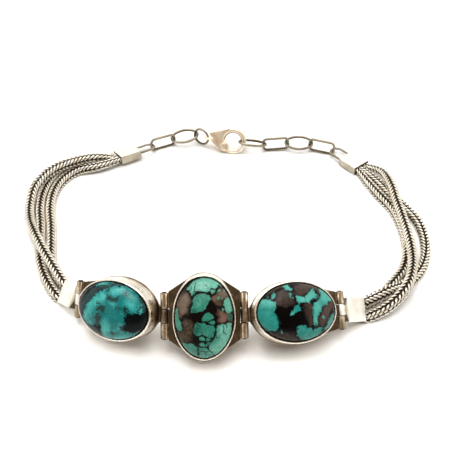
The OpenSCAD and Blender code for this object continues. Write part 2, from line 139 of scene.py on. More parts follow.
# Square softboxes that face the bracelet's middle
for name, place, size, watts, colour, mirrored in (
        ("lamp_front", (-0.02, -0.20, 0.55), 0.36, 2.3, LAMP_COLOUR, False),
        ("lamp_over", (-0.05, 0.08, 0.60), 0.42, 2.6, OVERHEAD_COLOUR, True),
        ("lamp_left", (-0.50, 0.0, 0.42), 0.40, 1.1, LAMP_COLOUR, False),
        ("lamp_right", (0.50, 0.0, 0.42), 0.40, 1.7, LAMP_COLOUR, False)):
    light = bpy.data.lights.new(name, "AREA")
    light.shape, light.size, light.energy, light.color = "SQUARE", size, watts, colour
    box = new_object(name, light)
    facing = (-Vector(place)).to_track_quat("-Z", "Y")
    box.matrix_world = Matrix.Translation(place) @ facing.to_matrix().to_4x4()
    box.visible_glossy = mirrored

world = bpy.data.worlds.new("tent")
bpy.context.scene.world = world
world.use_nodes = True
world.cycles_visibility.diffuse = False
sky = Nodes(world.node_tree)
sight = sky.add("TexCoord").outputs["Generated"]
towards_camera = sky.add("VectorMath", sight, -ahead, operation="DOT_PRODUCT").outputs["Value"]
height = sky.add("SeparateXYZ", sight).outputs["Z"]
tent = world.node_tree.nodes["Background"].inputs
sky.feed(tent["Color"], sky.blend(sky.ramp(towards_camera, *TENT_EDGE), TENT_COLOUR, ROOM_COLOUR))
sky.feed(tent["Strength"], sky.ramp(height, 0.0, ROOF_FROM, TENT_LOW, TENT_HIGH))

table_mesh = bpy.data.meshes.new("table")
table_mesh.from_pydata([(x * TABLE_HALF, y * TABLE_HALF, 0) for x, y in ((-1, -1), (1, -1), (1, 1), (-1, 1))],
                       [], [(0, 1, 2, 3)])
white, _, surface = finish("white_table")
surface["Base Color"].default_value = TABLE_COLOUR
surface["Roughness"].default_value = TABLE_ROUGH
surface["Specular IOR Level"].default_value = TABLE_GLOSS
table_mesh.materials.append(white)
table = new_object("table", table_mesh)


# Turquoise stones: three oval cabochons, domed and polished, sky blue to green in a dark
# brown host rock. The left one is clouded, the centre one is crossed by fine web lines, and
# the right one has a few large clean fields. Each lies loose in its bezel's wall.

STONE_LONG, STONE_SHORT, DOME = 6.95, 5.05, 2.5
GIRDLE_IN, GIRDLE_LOW, FOOT_IN, FOOT_RISE, FOOT_GAP = 0.09, -0.6, 0.25, 0.4, 0.05
STONE_SIDES, DOME_RINGS, DEEPEST = 240, 72, 3
RIM_SHADE = (16, 20, 14)
STONE_PARTS = ("deep", "pale_and_sheen", "speck", "smoke", "web", "black", "brown", "grey", "red")
BOX_DEPTH, PLATE_DROP, PLATE_RISE = 3.25, 0.3, 0.25
PLATE_LOW, PLATE_HIGH = -BOX_DEPTH - PLATE_DROP, -BOX_DEPTH + PLATE_RISE
# Move from the places as fitted to the photo into the part's frame
TO_FRAME = (0.3, 0.2, -0.02)
ROW_AT, LEAN = (-3.7, -29.85, 9.1), 50
REACH_CENTRE, REACH_INNER, REACH_OUTER = 6.95, 8.4, 9.05


def paint(red, green, blue):
    """Colour read as 0 to 255, as the light it stands for: ((c + 0.055) / 1.055)^2.4."""
    c = np.array([red, green, blue]) / 255
    return (*np.where(c < 0.04045, c / 12.92, ((c + 0.055) / 1.055) ** 2.4).tolist(), 1.0)


def shift(x, y, z):
    """Matrix that moves a point by x, y and z."""
    matrix = np.eye(4)
    matrix[:3, 3] = x, y, z
    return matrix


def turn(axis, degrees):
    """Matrix that turns a point about the axis 0, 1 or 2: u' = u cos - v sin, v' = u sin + v cos."""
    c, s = cos(radians(degrees)), sin(radians(degrees))
    i, j = (axis + 1) % 3, (axis + 2) % 3
    matrix = np.eye(4)
    matrix[i, i] = matrix[j, j] = c
    matrix[i, j], matrix[j, i] = -s, s
    return matrix


def put(matrix, points):
    """Points (..., 3) carried by a matrix: p' = M p + t."""
    return points @ matrix[:3, :3].T + matrix[:3, 3]


def stand_at(place):
    """Matrix from a piece's own origin to its fitted place."""
    return shift(*np.add(place, TO_FRAME))


def lying(side, swing, rock, spin):
    """Place of a side stone: from the centre stone out to the inner hinge, turned there, and on."""
    return (front_row @ shift(side * REACH_CENTRE, 0, -BOX_DEPTH) @ turn(1, side * swing)
            @ turn(0, rock) @ turn(2, spin) @ shift(side * REACH_INNER, 0, BOX_DEPTH))


front_row = stand_at(ROW_AT) @ turn(0, LEAN)
left_place = lying(-1, 24, 2.9, -7.8)
right_place = lying(1, 11, -8.4, 1.1)


def skin(rings, close_rows=False, wear_and_shade=0.0):
    """Rings (m, n, 3) joined in order by quads with the corners (i, j), (i, j+1), (i+1, j+1) and
    (i+1, j). Each end is closed by a fan to its mean point, or the last ring is joined to the first.
    How dark the silver is kept, by oxide and in places by painted shade, is given for all or each point."""
    m, n = rings.shape[:2]
    points, dark = rings.reshape(-1, 3), np.broadcast_to(wear_and_shade, (m, n)).reshape(-1)
    j, last = np.arange(n), (m - 1) * n
    j2 = (j + 1) % n
    here = n * np.arange(m if close_rows else m - 1)[:, None]
    there = (here + n) % (m * n)
    quads = np.stack([here + j, here + j2, there + j2, there + j], -1).reshape(-1, 4)
    fans = np.zeros((0, 3), int)
    if not close_rows:
        points = np.vstack([points, rings[0].mean(0), rings[-1].mean(0)])
        dark = np.append(dark, [dark[0], dark[-1]])
        fans = np.vstack([np.column_stack([np.full(n, m * n), j2, j]),
                          np.column_stack([np.full(n, m * n + 1), last + j, last + j2])])
    return {"points": points, "quads": quads, "fans": fans, "wear_and_shade": dark}


def dress(name, mesh, material, node, body="bracelet"):
    """Object on a finished mesh, riding a body, in place of a node."""
    mesh.materials.append(material)
    piece = new_object(name, mesh)
    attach(piece, body)
    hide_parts(node)


def new_piece(name, parts, material, node, edge=38, fields=()):
    """One mesh of several closed parts in millimetres, its faces turned outwards and its edges
    sharper than edge degrees kept crisp. fields are further values, one for each point."""
    starts = np.cumsum([0] + [len(p["points"]) for p in parts])
    faces = [face for p, start in zip(parts, starts) for key in ("quads", "fans")
             for face in (p[key] + start).tolist()]
    mesh = bpy.data.meshes.new(name)
    mesh.from_pydata((np.vstack([p["points"] for p in parts]) / 1000).tolist(), [], faces)
    shell = bmesh.new()
    shell.from_mesh(mesh)
    bmesh.ops.recalc_face_normals(shell, faces=shell.faces)
    shell.to_mesh(mesh)
    shell.free()
    mesh.shade_smooth()
    mesh.set_sharp_from_angle(angle=radians(edge))
    for key in ("wear_and_shade", *fields):
        values = np.concatenate([p[key] for p in parts]).astype(np.float32)
        kind, entry = ("FLOAT_VECTOR", "vector") if values.ndim == 2 else ("FLOAT", "value")
        mesh.attributes.new(key, kind, "POINT").data.foreach_set(entry, values.ravel())
    dress(name, mesh, material, node)


def around(count):
    """That many even angles round a circle, from 0."""
    return np.arange(count) * 2 * pi / count


def xyz(x, y, z):
    """Points from their x, y and z, of which some may be single values."""
    return np.stack(np.broadcast_arrays(x, y, z), -1)


def oval(a, b, z, count):
    """Ring of an oval: (a cos t, b sin t, z)."""
    return xyz(a * np.cos(around(count)), b * np.sin(around(count)), z)


def nearest(points, a, b):
    """Least distance of points (n, 2) to the edges from a to b (k, 2): |p - a - t (b - a)|."""
    ab, ap = b - a, points[:, None] - a
    t = np.clip((ap * ab).sum(-1) / np.maximum((ab * ab).sum(-1), 1e-9), 0, 1)
    return np.linalg.norm(ap - t[..., None] * ab, axis=-1).min(1)


def inside(points, outline):
    """Depth in mm of points (n, 2) inside an outline (k, 2), negative outside: the least distance
    to an edge, with its sign from how often a ray towards +X crosses the outline."""
    a, b = outline, np.roll(outline, -1, 0)
    near, ab = nearest(points, a, b), b - a
    spans = (a[:, 1] > points[:, 1:]) != (b[:, 1] > points[:, 1:])
    rise = np.where(np.abs(ab[:, 1]) < 1e-9, 1e-9, ab[:, 1])
    crosses = spans & (points[:, :1] < a[:, 0] + (points[:, 1:] - a[:, 1]) * ab[:, 0] / rise)
    return np.where(crosses.sum(1) % 2 == 1, near, -near)


def drawn_points(line):
    """Points (k, 2) in mm of a row x, y, x, y and so on in tenths of a millimetre."""
    return np.reshape(line, (-1, 2)) / 10


def eased(outline):
    """Outline with its corners cut: each edge keeps its middle half."""
    after = np.roll(outline, -1, 0)
    return np.stack([0.75 * outline + 0.25 * after, 0.25 * outline + 0.75 * after], 1).reshape(-1, 2)


def depth_of(points, outlines):
    """Greatest depth of each point in any of the drawn outlines."""
    return np.max([inside(points, eased(drawn_points(outline))) for outline in outlines], 0)


def off_lines(points, lines):
    """Least distance of each point to any of the drawn open lines."""
    pairs = [drawn_points(line) for line in lines]
    return nearest(points, np.vstack([p[:-1] for p in pairs]), np.vstack([p[1:] for p in pairs]))


def cabochon(a, b, place, drawn):
    """Stone of half axes a and b: at the share s of the way up, the dome's ring is the oval times
    cos(90 s)^0.92 at the height DOME sin(90 s)^1.06. Its fields are the stone's own place in mm, the
    share of the way out to the rim, and the depth in each drawn field or the distance off its lines."""
    s = np.linspace(0, 1, DOME_RINGS, endpoint=False) ** 1.25
    k, z = np.cos(s * pi / 2) ** 0.92, DOME * np.sin(s * pi / 2) ** 1.06
    low = [oval(a - inset, b - inset, height, STONE_SIDES) for inset, height in (
        (FOOT_IN, PLATE_HIGH + FOOT_GAP), (0, PLATE_HIGH + FOOT_RISE), (0, GIRDLE_LOW))]
    girdle = oval(a - GIRDLE_IN, b - GIRDLE_IN, 0.0, STONE_SIDES)
    part = skin(np.concatenate([low, girdle * k[:, None, None] + z[:, None, None] * (0, 0, 1)]))
    mm = part["points"]
    rim = np.hypot(mm[:, 0] / (a - GIRDLE_IN), mm[:, 1] / (b - GIRDLE_IN))
    part.update(points=put(place, mm), mm=mm, rim=rim)
    for name, outlines in drawn.items():
        measure = off_lines if name == "lines" else depth_of
        part[name] = np.clip(measure(mm[:, :2], outlines), -DEEPEST, DEEPEST)
    return [part]


def turquoise(name, colours, web, cloud, ragged, soft):
    """Polished turquoise. The fields are depths inside the turquoise ('green'), the brown rock, the
    'red' rock, dark 'smoke' and pale stone, which in places is a painted milky sheen, and the distance
    from dark 'lines'. Borders are as uneven as ragged and as wide as soft, cloud mottles the
    turquoise, and web deepens the lines.
    Every noise has its scale per millimetre, its detail and its roughness."""
    material, n, surface = finish(name)
    colours = {part: paint(*colour) for part, colour in zip(STONE_PARTS, colours)}
    mm = n.field("mm", "Vector")
    bent = n.add("VectorMath", n.noise(mm, 1.1, 2.0, 0.5, "Color"), (0.5, 0.5, 0.5), mm,
                 operation="MULTIPLY_ADD").outputs[0]
    fine = n.noise(mm, 2.6, 5.0, 0.68)
    # Turquoise from deep to pale, the pale fields partly a painted milky sheen, with dark specks and smoke
    green = n.ramp(n.uneven("green", fine, ragged), -soft, 0.05 + soft)
    pale_and_sheen = n.ramp(n.field("pale_and_sheen"), -0.9, 0.7, 0.0, 0.75)
    mottle = n.ramp(n.noise(bent, 0.55, 6.0, 0.66), 0.44, 0.70, 0.0, cloud)
    blue = n.blend(n.maths("MINIMUM", n.maths("ADD", pale_and_sheen, mottle), 1.0), colours["deep"], colours["pale_and_sheen"])
    specks = n.ramp(n.noise(bent, 2.3, 5.0, 0.74), 0.56, 0.68, 0.0, 0.8 * cloud)
    blue = n.blend(specks, blue, colours["speck"])
    smoke = n.ramp(n.uneven("smoke", fine, 2.2), -0.30, 0.22, 0.0, 0.92)
    blue = n.blend(smoke, blue, colours["smoke"])
    # Web: the edges of cells in some places, and the drawn lines
    cells = n.add("TexVoronoi", bent, feature="DISTANCE_TO_EDGE")
    cells.inputs["Scale"].default_value = 1.15
    veins = n.maths("MULTIPLY", n.ramp(cells.outputs["Distance"], 0.015, 0.05, 0.55, 0.0),
                    n.ramp(n.noise(mm, 0.8, 2.0), 0.45, 0.55))
    lines = n.ramp(n.uneven("lines", fine, 0.25), 0.03, 0.13, 1.0, 0.0)
    line = n.maths("MULTIPLY", n.maths("MAXIMUM", veins, lines), web)
    blue = n.blend(line, blue, colours["web"])
    # Host rock, rusty and black in places, and bleached by streaks and by the pale fields, which partly paint
    # a sheen
    streaks = n.ramp(n.noise(bent, 1.6, 6.0, 0.74), 0.42, 0.70, 0.0, 0.35)
    bleached = n.maths("MINIMUM", n.maths("MULTIPLY_ADD", pale_and_sheen, 0.8, streaks), 1.0)
    rock = n.blend(bleached, colours["brown"], colours["grey"])
    for rusty in (n.ramp(n.field("red"), -0.5, 0.3, 0.0, 0.75),
                  n.ramp(n.noise(mm, 1.9, 4.0, 0.6), 0.52, 0.66, 0.0, 0.25)):
        rock = n.blend(rusty, rock, colours["red"])
    stain = n.uneven("brown", n.noise(mm, 0.9, 5.0), 1.6)
    rock = n.blend(n.ramp(stain, -0.3, 0.5), colours["black"], rock)
    # Painted shade on the stone's edge under the bezel's lip, and the rock polished less than the turquoise
    rim = n.ramp(n.field("rim"), 0.988, 1.0, 0.0, 0.75)
    n.feed(surface["Base Color"], n.blend(rim, n.blend(green, rock, blue), paint(*RIM_SHADE)))
    n.feed(surface["Roughness"], n.ramp(n.noise(mm, 1.3, 4.0), 0.3, 0.75, 0.14, 0.26))
    n.feed(surface["Specular IOR Level"], n.maths("MULTIPLY_ADD", green, 0.16, 0.09))
    pits = n.maths("MULTIPLY", n.noise(bent, 2.2, 5.0, 0.6), 0.6)
    n.feed(surface["Normal"], n.bump(n.maths("MULTIPLY_ADD", line, -0.4, pits), 0.12, 0.0001))
    return material


# Fields drawn in each stone's own plane, as outlines and lines: each is a row x, y, x, y
# and so on in tenths of a millimetre from the stone's middle.

left_fields = {
    "green": [
        [-34, 39, -32, 43, -26, 47, -14, 51, -6, 50, 0, 49, -4, 47, -13, 45, -22, 43, -27, 39],
        [-50, -13, -47, -5, -44, 5, -36, 14, -30, 23, -25, 29, -18, 34, -11, 39, -3, 42, 4, 46, 15, 46, 21,
         48, 31, 46, 42, 42, 50, 34, 58, 27, 64, 19, 65, 11, 61, 6, 55, 7, 50, 5, 43, 5, 36, 2, 35, -4, 37,
         -11, 36, -17, 33, -22, 35, -27, 42, -29, 48, -32, 54, -27, 57, -26, 51, -34, 42, -42, 30, -48, 18,
         -51, 6, -52, -7, -51, -11, -44, -11, -35, -10, -26, -12, -19, -15, -27, -20, -30, -20, -24, -26,
         -27, -37, -30, -47, -25, -51, -19],
    ],
    "brown": [
        [-57, 4, -55, 14, -48, 24, -40, 35, -31, 39, -19, 43, -7, 47, 1, 49, 17, 51, 25, 50, 4, 46, -11,
         39, -25, 29, -36, 14, -45, 3, -49, -12, -56, -7],
        [-40, -32, -26, -28, -15, -33, -13, -41, -14, -49, -21, -42, -32, -36],
    ],
    # Pale turquoise, and in places a painted milky sheen
    "pale_and_sheen": [
        [-1, 42, 15, 46, 24, 38, 16, 32, 4, 33],
        [-25, 21, -14, 29, -5, 23, -18, 12, -32, -3, -47, -16, -44, -2],
        [33, 27, 44, 31, 51, 18, 45, 12, 35, 17],
        [-8, -18, 2, -10, 8, -34, -6, -47, -9, -37],
        [55, 19, 62, 19, 64, 11, 58, 10],
        [14, -43, 37, -36, 30, -46, 11, -51],
    ],
    "red": [
        [-32, 35, -19, 39, -22, 33, -31, 32],
        [-20, -7, -13, -6, -13, -15, -19, -18],
    ],
    "smoke": [
        [-4, 27, 0, 30, 7, 28, 16, 27, 17, 32, 21, 30, 19, 23, 14, 19, 8, 20, 2, 21],
        [-20, 6, -14, 11, -4, 12, -2, 7, -3, 0, -8, 0, -14, 1, -19, -1],
        [-24, -13, -22, -7, -17, -3, -11, -5, -6, -8, -9, -14, -14, -21, -14, -31, -12, -39, -19, -39, -22,
         -31, -21, -22, -18, -17],
        [32, 16, 38, 16, 41, 12, 39, 8, 43, 4, 34, 3, 31, 10],
        [54, 11, 56, 16, 58, 21, 60, 23, 66, 15, 66, 8, 63, 11, 59, 15, 58, 7],
        [27, 38, 32, 36, 35, 33, 33, 31, 29, 33],
        [10, -32, 14, -32, 14, -40, 8, -43],
        [-21, 15, -16, 16, -15, 13, -19, 11],
        [-6, 39, -2, 40, 0, 35, -4, 34],
        [16, 10, 22, 13, 26, 11, 22, 8, 17, 9],
        [27, -21, 35, -15, 36, -29, 29, -28],
        [51, 32, 59, 27, 62, 20, 57, 23],
    ],
    "lines": [
        [-4, 38, -4, 32, 1, 29],
        [18, 32, 16, 25],
        [-17, 14, -11, 11, -7, 6],
        [43, 4, 46, -1, 54, -2],
        [10, -33, 17, -34, 24, -31],
    ],
}
centre_fields = {
    "green": [
        [-30, 49, -23, 57, -15, 64, -5, 68, 6, 69, 17, 68, 26, 63, 35, 57, 39, 52, 35, 51, 30, 53, 25, 55,
         23, 53, 21, 52, 20, 49, 18, 51, 15, 52, 11, 51, 10, 47, 7, 45, 2, 45, -3, 46, -8, 47, -13, 46, -14,
         44, -18, 39, -21, 41, -22, 45, -26, 48],
        [11, 48, 15, 50, 19, 50, 20, 46, 18, 43, 15, 42, 12, 44],
        [23, 47, 27, 50, 29, 47, 25, 44],
        [33, 48, 36, 49, 37, 46, 34, 46],
        [23, 36, 27, 39, 28, 36, 25, 32, 22, 32],
        [29, 37, 31, 38, 32, 34, 30, 32],
        [-19, 32, -16, 37, -13, 40, -7, 43, -1, 44, 5, 42, 11, 39, 12, 35, 10, 30, 7, 25, 4, 18, -2, 14,
         -7, 12, -14, 11, -20, 11, -22, 12, -21, 17, -19, 23, -18, 28],
        [33, 26, 35, 31, 39, 35, 43, 35, 47, 32, 49, 26, 51, 18, 51, 12, 46, 10, 42, 9, 38, 11, 36, 16, 34,
         21],
        [30, 17, 32, 19, 34, 16, 32, 13],
        [41, 7, 45, 8, 49, 5, 49, 0, 46, -3, 42, -2, 41, 2],
        [-2, 5, 1, 9, 7, 12, 12, 10, 17, 6, 17, 2, 13, -1, 7, -3, 2, -3, -3, -2, -3, 1],
        [8, -5, 13, -2, 18, -2, 19, -7, 17, -9, 11, -8],
        [-49, 15, -45, 18, -44, 13, -43, 5, -42, -1, -39, -5, -37, -12, -36, -17, -38, -21, -41, -21, -45,
         -18, -48, -14, -50, -5, -51, 4],
        [-14, -6, -10, -5, -4, -6, 1, -5, 3, -9, 7, -10, 11, -9, 17, -11, 19, -14, 19, -20, 17, -25, 14,
         -31, 11, -32, 6, -30, 2, -28, -2, -25, -6, -27, -10, -29, -14, -26, -18, -24, -18, -19, -16, -13],
        [-9, -30, -6, -28, 1, -30, 2, -34, 0, -37, -6, -36, -8, -34],
        [4, -31, 9, -33, 11, -35, 7, -37, 3, -37],
        [-8, -40, -2, -38, 1, -40, 1, -46, -2, -47, -8, -45],
        [4, -40, 9, -38, 15, -34, 11, -40, 7, -44, 5, -48, 3, -45],
        [-11, -48, -8, -47, -2, -49, 3, -48, 5, -51, 11, -54, 14, -58, 17, -61, 10, -68, 1, -69, -8, -68,
         -11, -62, -9, -57, -10, -53],
        [-44, -41, -36, -41, -27, -42, -23, -40, -17, -43, -12, -48, -11, -53, -11, -60, -11, -67, -16,
         -66, -24, -61, -34, -53, -40, -47],
        [22, -10, 26, -9, 32, -8, 34, -10, 38, -8, 41, -6, 47, -8, 47, -19, 46, -27, 44, -36, 39, -45, 32,
         -54, 25, -61, 18, -65, 14, -58, 9, -52, 7, -47, 9, -43, 14, -38, 17, -33, 20, -28, 21, -24, 20,
         -18, 22, -13],
    ],
    "brown": [
        [-43, 36, -30, 48, -23, 44, -19, 37, -19, 32, -22, 25, -25, 17, -26, 12, -32, 8, -38, 0, -42, 4,
         -44, 15, -46, 23],
        [-37, -1, -29, 4, -23, 0, -17, -6, -18, -16, -19, -25, -17, -32, -26, -40, -36, -41, -46, -38, -49,
         -26, -39, -21, -35, -14],
        [21, 21, 26, 18, 34, 13, 39, 8, 40, -1, 35, -8, 27, -8, 24, -3, 25, 6, 22, 13],
        [12, 36, 19, 42, 23, 48, 30, 51, 39, 51, 45, 43, 48, 35, 45, 33, 39, 36, 33, 31, 32, 24, 28, 21,
         21, 24, 15, 30],
        [40, 11, 51, 9, 51, -6, 44, -8, 39, -4],
    ],
    # Pale turquoise, and in places a painted milky sheen
    "pale_and_sheen": [
        [-30, 49, -15, 64, 6, 69, 26, 63, 39, 52, 25, 54, 6, 45, -13, 47, -22, 45],
        [33, 26, 43, 35, 51, 18, 46, 10, 38, 11],
        [-43, 36, -30, 48, -23, 44, -21, 37, -25, 25, -30, 10, -40, 6, -45, 20],
        [23, 12, 33, 11, 39, 3, 35, -7, 27, -7],
        [25, -9, 46, -7, 46, -27, 32, -54, 20, -63, 10, -49, 29, -36, 25, -16],
        [23, 48, 39, 50, 45, 37, 30, 34],
    ],
    "red": [
        [21, 20, 26, 17, 34, 13, 39, 8, 40, -1, 35, -8, 27, -7, 24, -2, 25, 6, 22, 13],
        [15, 37, 20, 39, 21, 33, 17, 30, 13, 33],
        [-43, 5, -37, 11, -33, 8, -38, -1],
    ],
    "smoke": [
        [40, 7, 45, 8, 50, 5, 50, -2, 46, -4, 42, -2, 40, 2],
        [-16, -12, -9, -9, -7, -19, -14, -26, -18, -23],
        [-21, 17, -13, 18, -12, 13, -18, 11],
    ],
    "lines": [
        [-13, 61, -14, 57, -15, 54, -15, 49, -16, 46, -18, 39],
        [-23, 55, -20, 53, -22, 48],
        [23, 56, 25, 56, 29, 53, 33, 51],
        [-16, 46, -12, 47, -7, 47, -1, 46, 7, 44, 11, 41, 15, 41],
        [16, -21, 18, -27, 15, -33, 11, -35, 10, -39, 6, -43, 6, -48, 10, -54, 14, -58],
        [2, -30, 3, -37, 2, -44, 2, -48],
        [-9, -29, -8, -37, -9, -47, -10, -54, -8, -63],
        [-8, -36, 2, -38, 6, -37],
        [-9, -47, -2, -48, 5, -47],
        [-6, -27, -2, -23, -5, -20],
        [32, -11, 34, -17, 32, -21, 34, -25],
        [27, -26, 26, -30, 24, -32, 21, -31, 20, -25, 16, -21],
        [38, -16, 39, -13, 37, -8],
        [34, -23, 38, -27],
        [-14, -6, -7, -10, -5, -15],
        [-12, 33, -8, 31],
        [3, 57, 6, 55],
        [11, -54, 5, -56, -2, -55, -10, -54],
        [1, -56, 3, -62],
    ],
}
right_fields = {
    "green": [
        [-70, 8, -64, 19, -59, 24, -53, 24, -46, 22, -42, 19, -40, 16, -40, 11, -43, 4, -42, -3, -40, -6,
         -37, -9, -39, -13, -36, -15, -35, -18, -38, -23, -37, -26, -41, -30, -46, -31, -52, -30, -57, -27,
         -63, -21, -69, -12, -70, -2],
        [-46, 31, -42, 35, -39, 34, -37, 30, -40, 26, -45, 23, -47, 24, -45, 28],
        [-53, 29, -50, 30, -49, 28, -49, 24, -52, 25],
        [-23, 45, -16, 48, -13, 46, -13, 43, -7, 40, -8, 37, -13, 36, -18, 38, -21, 42],
        [-17, 30, -12, 32, -10, 30, -12, 28, -9, 25, -10, 22, -13, 22, -13, 26],
        [-6, 27, -1, 28, 4, 25, 9, 25, 12, 24, 17, 29, 21, 34, 27, 38, 30, 39, 31, 34, 32, 29, 37, 25, 39,
         23, 32, 18, 29, 21, 23, 20, 19, 18, 20, 15, 15, 14, 10, 16, 6, 15, 0, 14, -5, 18, -4, 22],
        [-16, -3, -14, 2, -9, 9, -4, 12, 0, 10, 2, 6, 4, 3, 1, 0, -3, 1, -9, -2, -12, -4, -15, -6],
        [45, 42, 53, 37, 61, 30, 66, 22, 68, 17, 60, 14, 56, 16, 52, 10, 46, 11, 42, 6, 38, 0, 35, -6, 32,
         -11, 33, -19, 32, -25, 26, -26, 21, -24, 24, -19, 23, -11, 23, -1, 24, 8, 27, 14, 34, 17, 38, 23,
         42, 29, 40, 35],
        [-6, -31, -4, -24, 1, -23, 9, -24, 13, -28, 20, -29, 24, -32, 33, -28, 42, -29, 41, -33, 38, -39,
         31, -44, 22, -48, 11, -49, 1, -46, -6, -38],
        [45, -33, 49, -25, 55, -14, 57, -9, 62, -7, 71, 1, 71, -7, 67, -16, 59, -27, 50, -34],
        [-34, -32, -31, -30, -28, -34, -31, -37],
        [39, -10, 43, -8, 46, -12, 42, -15],
    ],
    "brown": [
        [-35, 37, -23, 42, -17, 35, -9, 26, -6, 17, -11, 12, -19, 8, -33, 11, -39, 13, -39, 21, -36, 31],
        [-4, 46, 15, 52, 35, 47, 44, 41, 39, 27, 31, 39, 25, 39, 13, 28, 2, 27, -6, 31, -5, 39],
        [9, 14, 22, 15, 23, 8, 22, -11, 22, -24, 17, -26, 14, -18, 10, -4, 7, 5],
        [42, 6, 47, 10, 57, 14, 68, 17, 70, 10, 57, -6, 49, -21, 42, -30, 33, -26, 31, -13, 39, -6],
        [-54, -31, -39, -33, -25, -35, -10, -34, -6, -41, 3, -48, -12, -50, -32, -47, -46, -40],
        [-51, 37, -34, 45, -22, 47, -23, 42, -36, 37, -46, 31, -54, 28],
    ],
    # Pale turquoise, and in places a painted milky sheen
    "pale_and_sheen": [
        [-68, 13, -63, 20, -58, 25, -46, 22, -41, 18, -40, 12],
        [44, 41, 59, 30, 67, 18, 47, 12, 38, 23],
        [-6, 27, 30, 39, 37, 24, 15, 14, 0, 14],
        [-23, 45, -13, 46, -8, 38, -18, 38],
        [26, 13, 37, 17, 37, 2, 29, -11, 32, -25, 22, -24],
        [-1, 48, 25, 49, 42, 40, 20, 38, -2, 40],
        [43, 6, 67, 15, 49, -19, 34, -23],
        [-16, -3, -9, 0, -14, -6],
    ],
    "red": [
        [-36, 26, -30, 26, -33, 17, -39, 17],
        [33, -11, 39, -13, 41, -26, 35, -25],
        [6, 28, 14, 30, 9, 25],
        [-51, -32, -39, -34, -43, -40],
    ],
    "smoke": [
        [-53, 29, -49, 30, -48, 24, -53, 25],
        [31, 24, 39, 25, 37, 20, 32, 18],
        [22, -22, 32, -25, 31, -28, 22, -26],
    ],
    "lines": [
        [-46, 23, -50, 25, -54, 28],
        [38, 23, 33, 20, 28, 18],
        [22, -27, 28, -28, 35, -27],
        [32, 32, 38, 35, 38, 39],
        [-6, 17, -4, 15, 2, 14],
        [10, 16, 12, 24],
    ],
}
# Colours in the order of STONE_PARTS; the second is pale turquoise, also used for the painted milky sheen
left_blue = ((2, 104, 102), (64, 164, 158), (10, 46, 46), (14, 34, 33), (8, 44, 44), (6, 11, 10),
             (38, 58, 58), (70, 92, 92), (46, 46, 44))
centre_green = ((44, 116, 98), (104, 172, 152), (38, 80, 64), (30, 78, 62), (18, 42, 32), (12, 9, 7),
                (50, 42, 28), (118, 104, 90), (110, 80, 68))
right_green = ((24, 120, 110), (80, 164, 150), (36, 90, 80), (26, 56, 50), (14, 42, 36), (6, 5, 5),
               (48, 38, 32), (84, 72, 66), (74, 54, 50))
for side, kind, a, b, place, drawn, colours, web, cloud, ragged, soft in (
        ("left", "clouded", STONE_LONG, STONE_SHORT, left_place,
         left_fields, left_blue, 0.5, 0.9, 2.0, 0.10),
        ("centre", "webbed", STONE_SHORT, STONE_LONG, front_row,
         centre_fields, centre_green, 0.9, 0.4, 0.9, 0.03),
        ("right", "field", STONE_LONG, STONE_SHORT, right_place,
         right_fields, right_green, 0.5, 0.35, 1.7, 0.03)):
    new_piece("turquoise_" + side, cabochon(a, b, place, drawn),
              turquoise(kind + "_turquoise", colours, web, cloud, ragged, soft),
              "stone_" + side, fields=("mm", "rim", *drawn))


# Settings: a plain bezel of sheet silver soldered on a flat back plate, its rim pressed over
# the stone. The plate runs out in wings to short knuckles of thick tube that make the hinges.
# Handled parts are polished bright, and the corners keep their brown-black oxide.

KNUCKLE, PIN, PIN_ROOM, LOOSE_BORE = 0.7, 0.3, 0.04, 0.54
INNER_LONG, OUTER_LONG, INNER_MIDDLE, OUTER_MIDDLE, KNUCKLE_GAP = 8.0, 6.6, 2.44, 2.0, 0.07
PLATE_OUT, WING_GAP, WING_BACK, WING_SPREAD, MIDDLE_ROOM = 0.56, 0.715, 0.12, 0.25, 0.09
TONGUE_LAP, TONGUE_STOP, INNER_STOP, TONGUE_ROUND, TONGUE_WORN = 0.3, 0.5, 0.62, 0.06, 0.6
BEZEL_SIDES, PLATE_SIDES, KNUCKLE_SIDES, BAR_SIDES = 168, 480, 40, 32
RIM_WAVE, RIM_RIPPLE = 0.012, 0.014


def silver(name, bright, warm, tarnish, rough, spread, dented=0.25, metal=1.0):
    """Worn silver: bright metal where it is handled, a warm film and then dark oxide where the field
    of wear and painted shade is high, made uneven by noise of the size spread, and small dents and scratches."""
    material, n, surface = finish(name)
    where = n.add("TexCoord").outputs["Object"]
    patches, fine = n.noise(where, 420.0, 4.0, 0.6), n.noise(where, 2600.0, 3.0, 0.6)
    dark = n.ramp(n.uneven("wear_and_shade", patches, spread), 0.12, 0.85)
    dull = tuple(c * k for c, k in zip(bright, (0.9, 0.85, 0.78)))
    metal_colour = n.blend(n.ramp(patches, 0.35, 0.7), (*bright, 1), (*dull, 1))
    film = n.blend(n.ramp(dark, 0.0, 0.5), metal_colour, (*warm, 1))
    n.feed(surface["Base Color"], n.blend(n.ramp(dark, 0.35, 1.0), film, (*tarnish, 1)))
    n.feed(surface["Metallic"], metal)
    scratched = n.ramp(fine, 0.3, 0.75, rough, rough + 0.16)
    n.feed(surface["Roughness"], n.maths("MULTIPLY_ADD", dark, 0.22, scratched))
    dents = n.maths("MULTIPLY_ADD", patches, 0.8, n.maths("MULTIPLY", fine, 0.25))
    n.feed(surface["Normal"], n.bump(dents, dented, 0.00006))
    return material


cream_silver = silver("cream_silver", (0.98, 0.92, 0.82), (0.56, 0.44, 0.31), (0.09, 0.06, 0.034), 0.18, 0.85)


